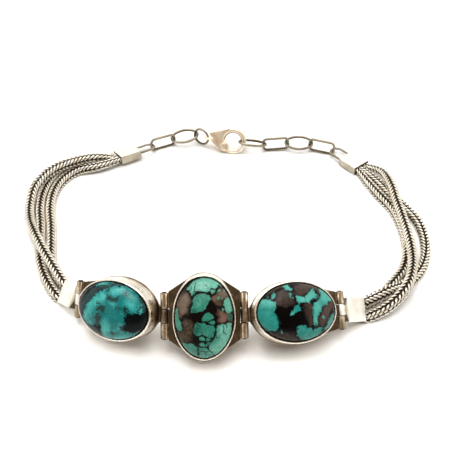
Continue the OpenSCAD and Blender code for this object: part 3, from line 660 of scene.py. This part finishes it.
def bezel(a, b, seed):
    """Bezel's wall round a stone of half axes a and b: a closed profile of (outset, height) carried
    round the oval, waved a little by sines of the seed, as a rim pushed down by hand is. It is dark
    inside, at its foot, and by |cos t| to a high power in the corners beside the hinges."""
    profile = np.array([
        (0.05, PLATE_HIGH - 0.05), (0.05, -0.30), (0.045, -0.12), (0.07, -0.03), (0.13, 0.015),
        (0.21, 0.015), (0.28, -0.03), (0.33, -0.10), (0.36, -0.22), (0.385, -0.45), (0.40, -1.0),
        (0.42, -1.9), (0.45, -2.6), (0.49, PLATE_HIGH + 0.10), (0.53, PLATE_HIGH + 0.02),
        (0.53, PLATE_HIGH - 0.05)])
    outset, height = profile[:, :1], profile[:, 1:]
    t = around(BEZEL_SIDES)
    wave = np.sin(3 * t + seed) + 0.7 * np.sin(5 * t + 2.3 * seed) + 0.5 * np.sin(9 * t + 1.7 * seed)
    out = outset + RIM_WAVE * wave * np.clip(1 + height / 2, 0, 1)
    z = height + RIM_RIPPLE * np.roll(wave, 11) * (height > -0.5)
    hinge = 0.55 * np.abs(np.cos(t)) ** (10 if a > b else 40)
    wear_and_shade = np.interp(z, (PLATE_HIGH, PLATE_HIGH + 0.5, -0.9, -0.3), (0.7, 0.12, -0.1, -0.2))
    wear_and_shade = np.where(outset < 0.06, 0.7, wear_and_shade + hinge * np.interp(z, (-1.2, -0.2), (1, 0)))
    return skin(xyz((a + out) * np.cos(t), (b + out) * np.sin(t), z), close_rows=True, wear_and_shade=wear_and_shade)


def plate(a, b, wings):
    """Back plate of a stone of half axes a and b: an oval PLATE_OUT wider, joined by wings. Its outline
    is r(t), the greater of the oval's radius and each wing's. A wing starts on the oval at the angle
    corner, and has two slanted sides and an edge on the line x = out up to |y| = half. That edge is
    turned by slant where |y| < middle, beside the neighbour's knuckle."""
    a, b = a + PLATE_OUT, b + PLATE_OUT
    t = np.linspace(-pi, pi, PLATE_SIDES, endpoint=False)
    reach = 1 / np.hypot(np.cos(t) / a, np.sin(t) / b)
    for side, out, half, corner, middle, slant in wings:
        start = np.array([a * cos(radians(corner)), b * sin(radians(corner))])
        c, s = side * np.cos(t), side * np.sin(t)
        u = np.arctan2(np.abs(s), c)
        line = np.array([out, half]) - start
        slanted = (start[0] * line[1] - start[1] * line[0]) / (np.cos(u) * line[1] - np.sin(u) * line[0])
        flat = out / np.maximum(c, 0.05)
        beside = out / np.maximum(c - s * tan(radians(slant)), 0.05)
        flat = np.where(np.abs(s * flat) < middle, beside, flat)
        wing = np.where(u < np.arctan2(start[1], start[0]), np.minimum(np.abs(slanted), flat), 0)
        reach = np.maximum(reach, wing)
    # Rows of inset, height and how dark it is
    steps = np.array([(0.09, PLATE_LOW, 0.5), (0.02, PLATE_LOW + 0.04, 0.5), (0, PLATE_LOW + 0.1, 0.5),
                      (0, PLATE_HIGH - 0.1, 0.5), (0.02, PLATE_HIGH - 0.03, 0.62), (0.08, PLATE_HIGH, 0.78)])
    out = reach - steps[:, :1]
    return skin(xyz(out * np.cos(t), out * np.sin(t), steps[:, 1:2]), wear_and_shade=steps[:, 2:])


def both_ends(half, y, h):
    """Rows (radius, d, more) at y + h + d, and then in the opposite order at y - h - d."""
    return np.array([(r, y + h + d, *more) for r, d, *more in half]
                    + [(r, y - h - d, *more) for r, d, *more in half[::-1]])


def lathe(profile, count, middle, wear_and_shade, bored=True):
    """Profile of (radius, y) turned about the Y axis through middle: a closed one where it is bored,
    and else closed at its ends."""
    t, r, y = around(count), profile[:, :1], profile[:, 1:2]
    return skin(xyz(r * np.cos(t), y, r * np.sin(t)) + middle, close_rows=bored, wear_and_shade=wear_and_shade)


def knuckle(x, y, length, bore, wear_and_shade=0.1):
    """Short tube along Y at x on the hinge's axis, its ends and bore rounded by 0.05. It is darker
    towards its ends, oxide and painted shade for the gaps between knuckles, and, by |cos t|^6, on the
    two sides that face the plates."""
    rows = both_ends([(bore, 0.05, 0.95), (bore + 0.04, 0, 0.95), (KNUCKLE - 0.08, 0, 0.7),
                      (KNUCKLE - 0.02, 0.03, 0.45), (KNUCKLE, 0.09, 0.36)], y, -length / 2)
    flank = 0.9 * np.abs(np.cos(around(KNUCKLE_SIDES))) ** 6
    return lathe(rows, KNUCKLE_SIDES, (x, 0, -BOX_DEPTH), rows[:, 2:] + flank + wear_and_shade)


def slab(low, high, round_off, wear_and_shade):
    """Bar along X between two corners, its edges rounded off: rounded rectangles at four x."""
    low, high = np.array(low, float), np.array(high, float)
    middle, half = (low + high) / 2, (high - low) / 2
    t = around(BAR_SIDES) + pi / BAR_SIDES
    rings = []
    for x, inset in ((low[0], round_off), (low[0] + round_off, 0),
                     (high[0] - round_off, 0), (high[0], round_off)):
        y = np.clip(np.cos(t) * 4, -1, 1) * (half[1] - round_off - inset) + np.cos(t) * round_off
        z = np.clip(np.sin(t) * 4, -1, 1) * (half[2] - round_off - inset) + np.sin(t) * round_off
        rings.append(xyz(x, y + middle[1], z + middle[2]))
    return skin(np.stack(rings), wear_and_shade=wear_and_shade)


def moved(parts, *matrices):
    """Parts carried by matrices, the last one first."""
    for matrix in reversed(matrices):
        parts = [{**p, "points": put(matrix, p["points"])} for p in parts]
    return parts


def tongue(start, end, y, width):
    """Strip of the plate's thickness along X, from the plate to a knuckle."""
    low, high = (start, y - width / 2, PLATE_LOW), (end, y + width / 2, PLATE_HIGH)
    return slab(low, high, TONGUE_ROUND, TONGUE_WORN)


def knuckle_pair(reach, length, middle):
    """Two end knuckles at x = reach with their tongues, as one hinge half."""
    end = (length - middle) / 2 - KNUCKLE_GAP
    return [p for y in ((end - length) / 2, (length - end) / 2) for p in (
        knuckle(reach, y, end, PIN + PIN_ROOM),
        tongue(reach - WING_GAP - TONGUE_LAP, reach - TONGUE_STOP, y, end))]


def side_setting(seed):
    """Side setting: its inner hinge is on the +X side and its outer hinge on the -X side."""
    wings = [(1, REACH_INNER - WING_GAP - WING_BACK, INNER_MIDDLE / 2, 38, 0, 0),
             (-1, REACH_OUTER - WING_GAP, OUTER_LONG / 2, 48, 0, 0)]
    return [bezel(STONE_LONG, STONE_SHORT, seed), plate(STONE_LONG, STONE_SHORT, wings),
            knuckle(REACH_INNER, 0, INNER_MIDDLE, LOOSE_BORE, 0.2),
            tongue(STONE_LONG, REACH_INNER - INNER_STOP, 0, INNER_MIDDLE),
            *moved(knuckle_pair(REACH_OUTER, OUTER_LONG, OUTER_MIDDLE), turn(2, 180))]


def centre_setting(seed):
    """Centre setting: the end knuckles of both inner hinges."""
    wings = [(side, REACH_CENTRE - WING_GAP, INNER_LONG / 2 + WING_SPREAD, 58,
              INNER_MIDDLE / 2 + MIDDLE_ROOM, slant) for side, slant in ((-1, 6), (1, 0))]
    pair = knuckle_pair(REACH_CENTRE, INNER_LONG, INNER_MIDDLE)
    return [bezel(STONE_SHORT, STONE_LONG, seed), plate(STONE_SHORT, STONE_LONG, wings),
            *pair, *moved(pair, turn(2, 180))]


for side, parts in (("left", moved(side_setting(0.4), left_place)),
                    ("centre", moved(centre_setting(1.3), front_row)),
                    ("right", moved(side_setting(2.9), right_place, turn(2, 180)))):
    new_piece("bezel_" + side, parts, cream_silver, "setting_" + side)


# Hinge pins: round silver wire through each row of knuckles, its ends spread into small heads.

HEAD, HEAD_SHOULDER, PIN_SIDES, PIN_WORN = 0.43, 0.41, 24, 0.9

for name, place, x, length in (("outer_left", left_place, -REACH_OUTER, OUTER_LONG),
                               ("inner_left", front_row, -REACH_CENTRE, INNER_LONG),
                               ("inner_right", front_row, REACH_CENTRE, INNER_LONG),
                               ("outer_right", right_place, REACH_OUTER, OUTER_LONG)):
    rows = both_ends([(PIN, 0.175), (HEAD_SHOULDER, 0.16), (HEAD, 0.11), (HEAD_SHOULDER, 0.045), (PIN, 0.04)],
                     0, length / 2)
    shaft = lathe(rows, PIN_SIDES, (x, 0, -BOX_DEPTH), PIN_WORN, bored=False)
    new_piece("hinge_pin_" + name, moved([shaft], place), cream_silver, "pin_" + name)


# End caps: flat boxes of polished silver, folded and soldered, their open mouths pressed on
# three strands. The front ones hang in the outer hinges, and the rear ones end in a wire loop.

CAP_WIDE, CAP_THICK, CAP_LONG, CAP_WALL, CAP_GAP = 4.4, 2.0, 4.8, 0.22, 1.05
CAP_ROUND, SHARPEST, CORNER_POINTS = (0.2, 0.2, 0.5, 0.5), 0.03, 11
ARM_FROM, ARM_LAP, ARM_IN, ARM_HIGH = 0.6, 0.35, 0.15, 0.3
WIRE, LINK_WIDE, LOOP_LONG, WIRE_SIDES = 0.26, 3.35, 4.3, 16

cap_silver = silver("polished_silver", (0.97, 0.945, 0.885), (0.62, 0.56, 0.44), (0.10, 0.07, 0.045),
                    0.34, 0.3, dented=0.05, metal=0.6)


def quarters(count):
    """Angles of the four quarters of a circle, count in each, both ends of a quarter among them."""
    return np.linspace(0, pi / 2, count) + np.arange(4)[:, None] * pi / 2


def round_corners(half_u, half_v, radii, count):
    """Rounded rectangle of those half sizes: count points a corner, corner + r (cos t, sin t)."""
    t, r = quarters(count), np.reshape(radii, (4, 1))
    u = np.reshape((1, -1, -1, 1), (4, 1)) * (half_u - r) + r * np.cos(t)
    v = np.reshape((1, 1, -1, -1), (4, 1)) * (half_v - r) + r * np.sin(t)
    return np.stack([u, v], -1).reshape(-1, 2)


def cap_box(start, wear_and_shade, side_shade):
    """Cap from x = start: its section carried along X, turned in at the mouth and back down a
    pocket. Its corners are small at the face (+Z) and large at the back. The second value is how
    dark it is all over, and the third how much darker its narrow sides are painted, as shade."""
    # Rows of x, inset and how dark it is
    steps = [(0, 0.16, 0.35), (0.05, 0.05, 0.15), (0.14, 0, 0), (1.2, 0, 0), (3.6, 0, 0),
             (CAP_LONG - 0.1, 0, 0), (CAP_LONG - 0.02, 0.03, 0), (CAP_LONG, 0.09, 0.1),
             (CAP_LONG, CAP_WALL - 0.04, 0.7), (CAP_LONG - 0.06, CAP_WALL, 1),
             (CAP_LONG - 2.3, CAP_WALL, 1), (CAP_LONG - 2.4, CAP_WALL + 0.1, 1)]
    rings = []
    for x, inset, _ in steps:
        yz = round_corners(CAP_WIDE / 2 - inset, CAP_THICK / 2 - inset,
                           np.maximum(np.subtract(CAP_ROUND, inset), SHARPEST), CORNER_POINTS)
        rings.append(np.column_stack([np.full(len(yz), start + x), yz]))
    # Painted shade on the cap's narrow sides
    side_shading = np.interp(np.sin(quarters(CORNER_POINTS).ravel()), (0.2, 0.9), (side_shade, 0.0))
    return skin(np.stack(rings), wear_and_shade=np.array(steps)[:, 2:] + side_shading + wear_and_shade)


def unit(v):
    """Vectors (..., 3) brought to the length 1."""
    return v / np.linalg.norm(v, axis=-1, keepdims=True)


def round_wire(path, run, outward, radius, side_shading):
    """Rings of a round wire on the points p of a path: p + r (cos a m + sin a b), with b along
    run x outward and m = b x run."""
    b = unit(np.cross(run, outward))
    m, a = np.cross(b, run), around(side_shading)[:, None]
    return path[..., None, :] + radius * (np.cos(a) * m[..., None, :] + np.sin(a) * b[..., None, :])


def front_cap(twist):
    """Front cap: the hinge's axis at the origin along Y, the box outwards along +X, twisted about X."""
    middle = knuckle(0, 0, OUTER_MIDDLE, LOOSE_BORE, -0.25)
    half = OUTER_MIDDLE / 2 - ARM_IN
    arm = slab((ARM_FROM, -half, -PLATE_DROP), (CAP_GAP + ARM_LAP, half, ARM_HIGH), 0.07, 0.1)
    box = cap_box(CAP_GAP, -0.1, 0.4)
    return [*moved([middle], shift(0, 0, BOX_DEPTH)), arm, *moved([box], turn(0, twist))]


def rear_cap():
    """Rear cap: the loop's end of the box at the origin, the box along +X, the U of wire along -X."""
    half = LINK_WIDE / 2 - WIRE
    straight = LOOP_LONG - WIRE - half
    t = np.linspace(pi / 2, 3 * pi / 2, 33)
    bend = xyz(half * np.cos(t) - straight, half * np.sin(t), 0)
    leg = xyz(np.linspace(0.2, -straight, 9)[:-1], half, 0)
    path = np.vstack([leg, bend, leg[::-1] * [1, -1, 1]])
    loop = round_wire(path, unit(np.gradient(path, axis=0)), (0, 0, 1), WIRE, WIRE_SIDES)
    return [cap_box(0, 0.22, 0.3), skin(loop, wear_and_shade=0.6)]


def outer(side, base, swing):
    """Place of an outer hinge on the stone's place base, with +X outwards from the row."""
    return (base @ shift(side * REACH_OUTER, 0, -BOX_DEPTH) @ turn(1, side * swing) @ turn(0, -2.2)
            @ turn(2, 180 if side < 0 else 0))


def linked(place, roll, pitch, yaw):
    """Place of a cap's loop or a link: its middle, then turned about X, Y and Z in that order."""
    return stand_at(place) @ turn(2, yaw) @ turn(1, pitch) @ turn(0, roll)


for name, node, parts, place in (
        ("cap_of_left_hinge", "cap_front_left", front_cap(15), outer(-1, left_place, 30.5)),
        ("cap_of_right_hinge", "cap_front_right", front_cap(0), outer(1, right_place, 33)),
        ("cap_with_left_loop", "cap_rear_left", rear_cap(), linked((-19.44, 28.23, 1.46), 12, 0, 209.8)),
        ("cap_with_right_loop", "cap_rear_right", rear_cap(), linked((26.86, 25.48, 1.13), 0, 0, -50.3))):
    new_piece(name, moved(parts, place), cap_silver, node)


# Foxtail strands: square cords woven of round silver wire, three to a side. Four rows of bent
# wires run along each cord's corners, slanting from the groove in one face to the groove in the
# next, so that every face shows a herringbone. Each wire's crest is bright; its sides and the
# grooves are dark, partly oxide and partly painted shade, and a black core stands in for the
# shaded inside of the cord.

STRAND, STRAND_END, STRAND_OUT, STRAND_UNDER = 1.0, 0.58, 0.97, 0.60
PITCH, LEAD, PICK, PICK_TIP, PICK_OUT, DIP, DIP_WIDE = 0.93, 1.55, 0.195, 0.55, 0.80, 0.22, 0.11
CORE, CORE_STEP, ROUTE_STEP, SPAN_STEPS = 0.60, 0.45, 0.1, 40
PICK_FROM, PICK_SPAN, PICK_POINTS, PICK_SIDES = 0.13, 0.74, 8, 6
CORE_END, PICK_END, CORE_OXIDE_AND_SHADE = 0.15, 1.1, 1.3

strand_silver = silver("woven_silver", (0.95, 0.90, 0.80), (0.50, 0.46, 0.40), (0.055, 0.040, 0.024),
                       0.26, 0.34)


def distances(points):
    """Distance along a line of points (n, 3) from its start to each of them."""
    return np.append(0, np.cumsum(np.linalg.norm(np.diff(points, axis=0), axis=1)))


def sampled(s, along, points):
    """Points (n, 3) that lie at the distances along, taken at the distances s."""
    return np.stack([np.interp(s, along, points[:, i]) for i in range(3)], -1)


def smooth_route(points):
    """Curve through the points: a cubic in each span with the slopes (p[i+1] - p[i-1]) / 2, then
    taken again at equal steps of its length. It gives the places, their distances along the
    curve, and the distances of the given points."""
    p = np.asarray(points, float) + TO_FRAME
    slope = np.gradient(p, axis=0)
    u = np.linspace(0, 1, SPAN_STEPS + 1)[:-1, None, None]
    h = ((2 * u**3 - 3 * u**2 + 1) * p[:-1] + (u**3 - 2 * u**2 + u) * slope[:-1]
         + (3 * u**2 - 2 * u**3) * p[1:] + (u**3 - u**2) * slope[1:])
    fine = np.vstack([h.transpose(1, 0, 2).reshape(-1, 3), p[-1]])
    along = distances(fine)
    s = np.linspace(0, along[-1], int(along[-1] / ROUTE_STEP) + 1)
    return sampled(s, along, fine), s, along[::SPAN_STEPS]


def strand(route, first, spin):
    """Woven cord on a route, of the size first just outside the front cap. In the cord's own square
    section a wire's middle line runs at the angle q from one groove to the next at the distance
    PICK_OUT / (|cos q|^5 + |sin q|^5)^(1/5), less a dip in the grooves, while it goes forward on one
    corner and back on the next. spin turns the section. A black core, painted oxide and shade for
    the inside of the weave, fills the cord."""
    place, s, knots = smooth_route(route)
    run = unit(np.gradient(place, axis=0))
    side = unit(np.cross((0, 0, 1), run))
    up = np.cross(run, side)
    side, up = cos(spin) * side + sin(spin) * up, cos(spin) * up - sin(spin) * side
    sizes = [STRAND_END, STRAND_END, first, (first + STRAND) / 2] + [STRAND] * (len(route) - 7)
    sizes += [(STRAND_END + STRAND) / 2 + 0.06, STRAND_END, STRAND_END]
    grown = np.interp(s, knots, sizes)

    def at(distance, across, height):
        """Point at a distance along the cord, across and height from its middle line in shares of
        its size, with the directions of across and height and the size there."""
        size = np.interp(distance, s, grown)[..., None]
        base, u, v = (sampled(distance, s, f) for f in (place, side, up))
        return base + size * (across[..., None] * u + height[..., None] * v), u, v, size

    q = around(8) + pi / 8
    core_at = np.arange(CORE_END, s[-1] - 0.1, CORE_STEP)[:, None]
    # Black core: painted shade and oxide for the inside of the weave
    parts = [skin(at(core_at, CORE * np.cos(q), CORE * np.sin(q))[0], wear_and_shade=CORE_OXIDE_AND_SHADE)]
    turns = np.arange(PICK_END, s[-1] - PICK_END, PITCH)
    k = np.linspace(0, 1, PICK_POINTS)
    dip = np.exp(-(np.minimum(k, 1 - k) / DIP_WIDE) ** 2)
    thick = PICK * np.interp(k, (0, 0.16, 0.84, 1), (PICK_TIP, 1, 1, PICK_TIP))
    lift = np.cos(around(PICK_SIDES)) * 0.5 + 0.5
    # Darker in the grooves, oxide and painted shade, and on each wire's sides away from the outside, painted
    # shade that leaves only the crest bright
    wear_and_shade = np.clip(0.95 * dip[:, None] + 1.1 * (1 - lift) - 0.15, 0, 1.2)
    for corner, way, start in ((0, 1, 0), (1, -1, 0.5), (2, 1, 0.5), (3, -1, 0)):
        q = (corner + PICK_FROM + PICK_SPAN * k) * pi / 2
        reach = PICK_OUT / (np.abs(np.cos(q)) ** 5 + np.abs(np.sin(q)) ** 5) ** 0.2 * (1 - DIP * dip)
        distance = turns[:, None] + start * PITCH + way * LEAD * (k - 0.5)
        middle, u, v, size = at(distance, reach * np.cos(q), reach * np.sin(q))
        outward = np.cos(q)[:, None] * u + np.sin(q)[:, None] * v
        picks = round_wire(middle, unit(np.gradient(middle, axis=1)), outward,
                           thick[:, None, None] * size[..., None, :] ** 0.5, PICK_SIDES)
        parts += [skin(pick, wear_and_shade=wear_and_shade) for pick in picks]
    return parts


strands = {
    "left_top": [(-28.27, -17.16, 3.8), (-29.62, -15.49, 2.84), (-30.4, -14.5, 2.6), (-32.8, -10.6, 3),
                 (-35.4, -6, 3.2), (-37.7, -1.2, 3.1), (-39.5, 3.7, 2.2), (-40.4, 8.8, 1.8),
                 (-39.9, 14, 2.8), (-37.3, 18.6, 3.3), (-33.4, 22.1, 3), (-28.7, 24.1, 2.8),
                 (-23.78, 25.75, 1.46), (-21.7, 26.94, 1.46)],
    "left_low": [(-29.12, -18.81, 2.13), (-30.47, -17.15, 1.17), (-31.6, -16.5, 1), (-34.2, -12.1, 1),
                 (-36, -7.1, 1), (-36.8, -1.8, 1), (-37.5, 3.4, 1), (-38.4, 8.6, 1), (-38.5, 13.9, 1),
                 (-37.2, 19.1, 1), (-34.1, 23.4, 1), (-29.5, 25.8, 1.1), (-24.39, 26.81, 1.2),
                 (-22.3, 28, 1.2)],
    "left_mid": [(-28.5, -17.92, 2.8), (-29.85, -16.26, 1.84), (-30, -15.1, 0.8), (-32.4, -11.4, 0.9),
                 (-33.9, -6.6, 1), (-34.6, -1.7, 1), (-35.3, 3.2, 1), (-36.2, 8.2, 1), (-36.4, 13.2, 1),
                 (-35.3, 17.9, 1), (-32.3, 21.6, 1.1), (-27.3, 22.5, 1.7), (-23.17, 24.68, 1.72),
                 (-21.09, 25.88, 1.72)],
    "right_low": [(23.18, -23.78, 2.56), (24.87, -22.63, 1.4), (26, -22.4, 1), (29.8, -21.1, 2.4),
                  (33.4, -17.5, 3.7), (35.2, -12.7, 3.7), (36, -7.6, 3.1), (36, -2.4, 3.2),
                  (35.7, 2.7, 3.2), (35.3, 7.8, 3.1), (34.9, 13.1, 3.2), (33.9, 18.8, 2.2),
                  (31.02, 22.43, 1.13), (29.48, 24.28, 1.13)],
    "right_top": [(22.99, -21.88, 4.18), (24.68, -20.73, 3.02), (25.7, -20.1, 2.7), (29.8, -17.9, 2.9),
                  (33.8, -14.8, 1.6), (37.1, -11, 1.1), (39.1, -6.4, 1), (39.8, -1.4, 1),
                  (39.3, 3.6, 1), (37.3, 8.3, 1), (34.8, 12.8, 1), (32.8, 17.3, 0.9),
                  (30.05, 21.63, 1.13), (28.52, 23.48, 1.13)],
    "right_mid": [(22.9, -22.72, 3.22), (24.6, -21.57, 2.06), (24.9, -20.5, 0.9), (28.2, -18, 0.9),
                  (31.2, -14.4, 1), (34, -10.6, 1), (35.5, -6.2, 1), (36, -1.4, 1), (35.8, 3.3, 1),
                  (34.8, 7.9, 1), (32.8, 12.1, 1), (30.9, 16.4, 1), (29.09, 20.83, 1.13),
                  (27.56, 22.68, 1.13)],
}
for name, route in strands.items():
    first = STRAND_UNDER if name.endswith("mid") else STRAND_OUT
    new_piece("foxtail_" + name, strand(route, first, pi / 2 if name == "right_top" else 0),
              strand_silver, "strand_" + name, edge=60)


# Links: heavy round wire bent into long squarish and long oval rings, soldered shut, with one
# round jump ring. Their outer sides are rubbed bright, and the insides of the bends stay dark.

SQUARE_LONG, SQUARE_CORNER, OVAL_LONG, OVAL_WIDE, OVAL_END = 6.15, 0.9, 6.5, 3.45, 0.95
RING, RING_WIRE, WIRE_MORE, LINK_POINTS, RING_POINTS = 1.82, 0.25, 0.02, 84, 72

link_silver = silver("link_silver", (0.50, 0.455, 0.365), (0.31, 0.27, 0.20), (0.09, 0.07, 0.045), 0.22, 0.6)


def even(path):
    """Closed path taken again at LINK_POINTS equal steps of its length."""
    loop = np.vstack([path, path[:1]])
    along = distances(loop)
    return sampled(np.arange(LINK_POINTS) * along[-1] / LINK_POINTS, along, loop)


def square_path():
    """Middle line of a squarish link: a rounded rectangle."""
    flat = round_corners(SQUARE_LONG / 2 - WIRE, LINK_WIDE / 2 - WIRE, [SQUARE_CORNER] * 4, 40)
    return even(xyz(*flat.T, 0))


def oval_path():
    """Middle line of an oval link: four arcs, small ones at the ends and wide ones at the sides."""
    a, b, r = OVAL_LONG / 2 - WIRE, OVAL_WIDE / 2 - WIRE, OVAL_END
    wide = ((a - r) ** 2 + b * b - r * r) / (2 * (b - r))
    meet = np.arctan2(wide - b, a - r)
    t, w = np.linspace(-meet, meet, 60), np.linspace(meet, pi - meet, 60)
    end = xyz(a - r + r * np.cos(t), r * np.sin(t), 0)
    long = xyz(wide * np.cos(w), b - wide + wide * np.sin(w), 0)
    return even(np.concatenate([end, long, end * [-1, -1, 1], long * [-1, -1, 1]]))


def link(path, radius):
    """Link on a closed path in XY, darker on the side of the wire that faces its middle."""
    inner = np.clip(-np.sin(around(WIRE_SIDES)), 0, 1)
    ends = np.clip(np.abs(unit(path)[:, :1]) - 0.6, 0, 1)
    run = unit(np.roll(path, -1, 0) - np.roll(path, 1, 0))
    return skin(round_wire(path, run, (0, 0, 1), radius, WIRE_SIDES), close_rows=True,
                wear_and_shade=0.45 + 0.35 * inner + 0.5 * ends * inner)


for name, path, radius, place, angles in (
        ("link_1", square_path(), WIRE, (-13.87, 31.11, 1.72), (92.2, 0.7, 26.1)),
        ("link_2", oval_path(), WIRE, (-9.02, 32.68, 2.19), (31.2, -7.3, 7.1)),
        ("link_3", oval_path(), WIRE, (6.37, 29.66, 2.31), (-12.2, 8.2, 2.1)),
        ("link_4", square_path(), WIRE, (11.56, 29.83, 1.91), (88.4, -3, 2.1)),
        ("link_5", oval_path(), WIRE, (16.76, 29.83, 2.11), (35.4, 0.3, -3.3)),
        ("link_6", square_path(), WIRE, (21.82, 28.79, 1.82), (87.9, 2.2, -18.2)),
        ("jump_ring", oval(RING, RING, 0.0, RING_POINTS), RING_WIRE,
         (-5.15, 31.94, 2.57), (84.3, -2.9, -33.3))):
    new_piece("wire_" + name, moved([link(path, radius + WIRE_MORE)], linked(place, *angles)),
              link_silver, name)


# Lobster clasp: cast silver with soft edges, a hook and a triangular back, and a sprung lever
# on a small rivet that closes the hook. Its tail loop holds the jump ring.

CLASP_AT, CLASP_ANGLES, HOOK, HOOK_BAR = (1.96, 30.0, 2.69), (61.2, 1.6, -9.6), 2.4, 0.57
BACK_OUTLINE = np.array([(-0.9, 2.72), (-3.9, 1.8), (-5.4, 1.35), (-5.0, 0.5), (-4.95, -0.45),
                         (-4.3, -1.05), (-2.84, -2.2), (-1.5, -2.6)])
# How dark the cast is all over, the painted shade inside the hook, and the face of the back
CAST_WORN, HOOK_SHADE_DARKNESS, FACE_WORN = 0.05, 0.85, 0.35

clasp_silver = silver("cast_silver", (0.98, 0.87, 0.70), (0.78, 0.57, 0.42), (0.13, 0.09, 0.05), 0.40, 0.4)


def cast(name, node, voxel, rounds, body):
    """Copy of a source solid, merged and laid over with an even mesh, whose points are then drawn
    towards the mean of their neighbours a few times, as a casting's edges are tumbled round. It is
    darkened inside the hook's upper half as painted shade on the shaded inner wall, and on the face
    of the triangular back."""
    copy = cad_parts[node].data.copy()
    shell = bmesh.new()
    shell.from_mesh(copy)
    bmesh.ops.remove_doubles(shell, verts=shell.verts, dist=1e-6)
    bmesh.ops.scale(shell, vec=(1000, 1000, 1000), verts=shell.verts)
    shell.to_mesh(copy)
    shell.free()
    copy.materials.clear()
    for attribute in [a.name for a in copy.attributes if not a.is_required and not a.name.startswith(".")]:
        copy.attributes.remove(copy.attributes[attribute])
    rough = new_object(name + "_rough", copy)
    remesh = rough.modifiers.new("even", "REMESH")
    remesh.mode, remesh.voxel_size, remesh.adaptivity = "VOXEL", voxel, 0
    rub = rough.modifiers.new("rub", "SMOOTH")
    rub.factor, rub.iterations = 0.5, rounds
    mesh = bpy.data.meshes.new_from_object(rough.evaluated_get(bpy.context.evaluated_depsgraph_get()))
    bpy.data.objects.remove(rough)
    mesh.name = name
    mesh.transform(Matrix.Scale(0.001, 4))
    mesh.shade_smooth()
    points = np.zeros(len(mesh.vertices) * 3, np.float32)
    mesh.vertices.foreach_get("co", points)
    to_clasp = np.linalg.inv(linked(CLASP_AT, *CLASP_ANGLES))
    local = put(to_clasp, points.reshape(-1, 3).astype(float) * 1000)[:, :2]
    off = np.hypot(*local.T)
    # Painted shade on the hook's inner wall, in its upper half
    hook_shade = np.clip((HOOK - HOOK_BAR + 0.32 - off) / 0.2, 0, 1) * np.clip(local[:, 1] + 0.3, 0, 1)
    back = np.clip((inside(local, BACK_OUTLINE) - 0.35) / 0.3, 0, 1)
    face = back * np.clip((off - HOOK - HOOK_BAR) / 0.3, 0, 1)
    wear_and_shade = (CAST_WORN + HOOK_SHADE_DARKNESS * hook_shade + FACE_WORN * face).astype(np.float32)
    mesh.attributes.new("wear_and_shade", "FLOAT", "POINT").data.foreach_set("value", wear_and_shade)
    mesh.materials.clear()
    dress(name, mesh, clasp_silver, node, body)


cast("lobster_hook", "clasp_body", 0.07, 4, "bracelet")
cast("lobster_lever", "clasp_lever", 0.06, 4, "lever")
cast("lobster_rivet", "clasp_pin", 0.04, 2, "bracelet")
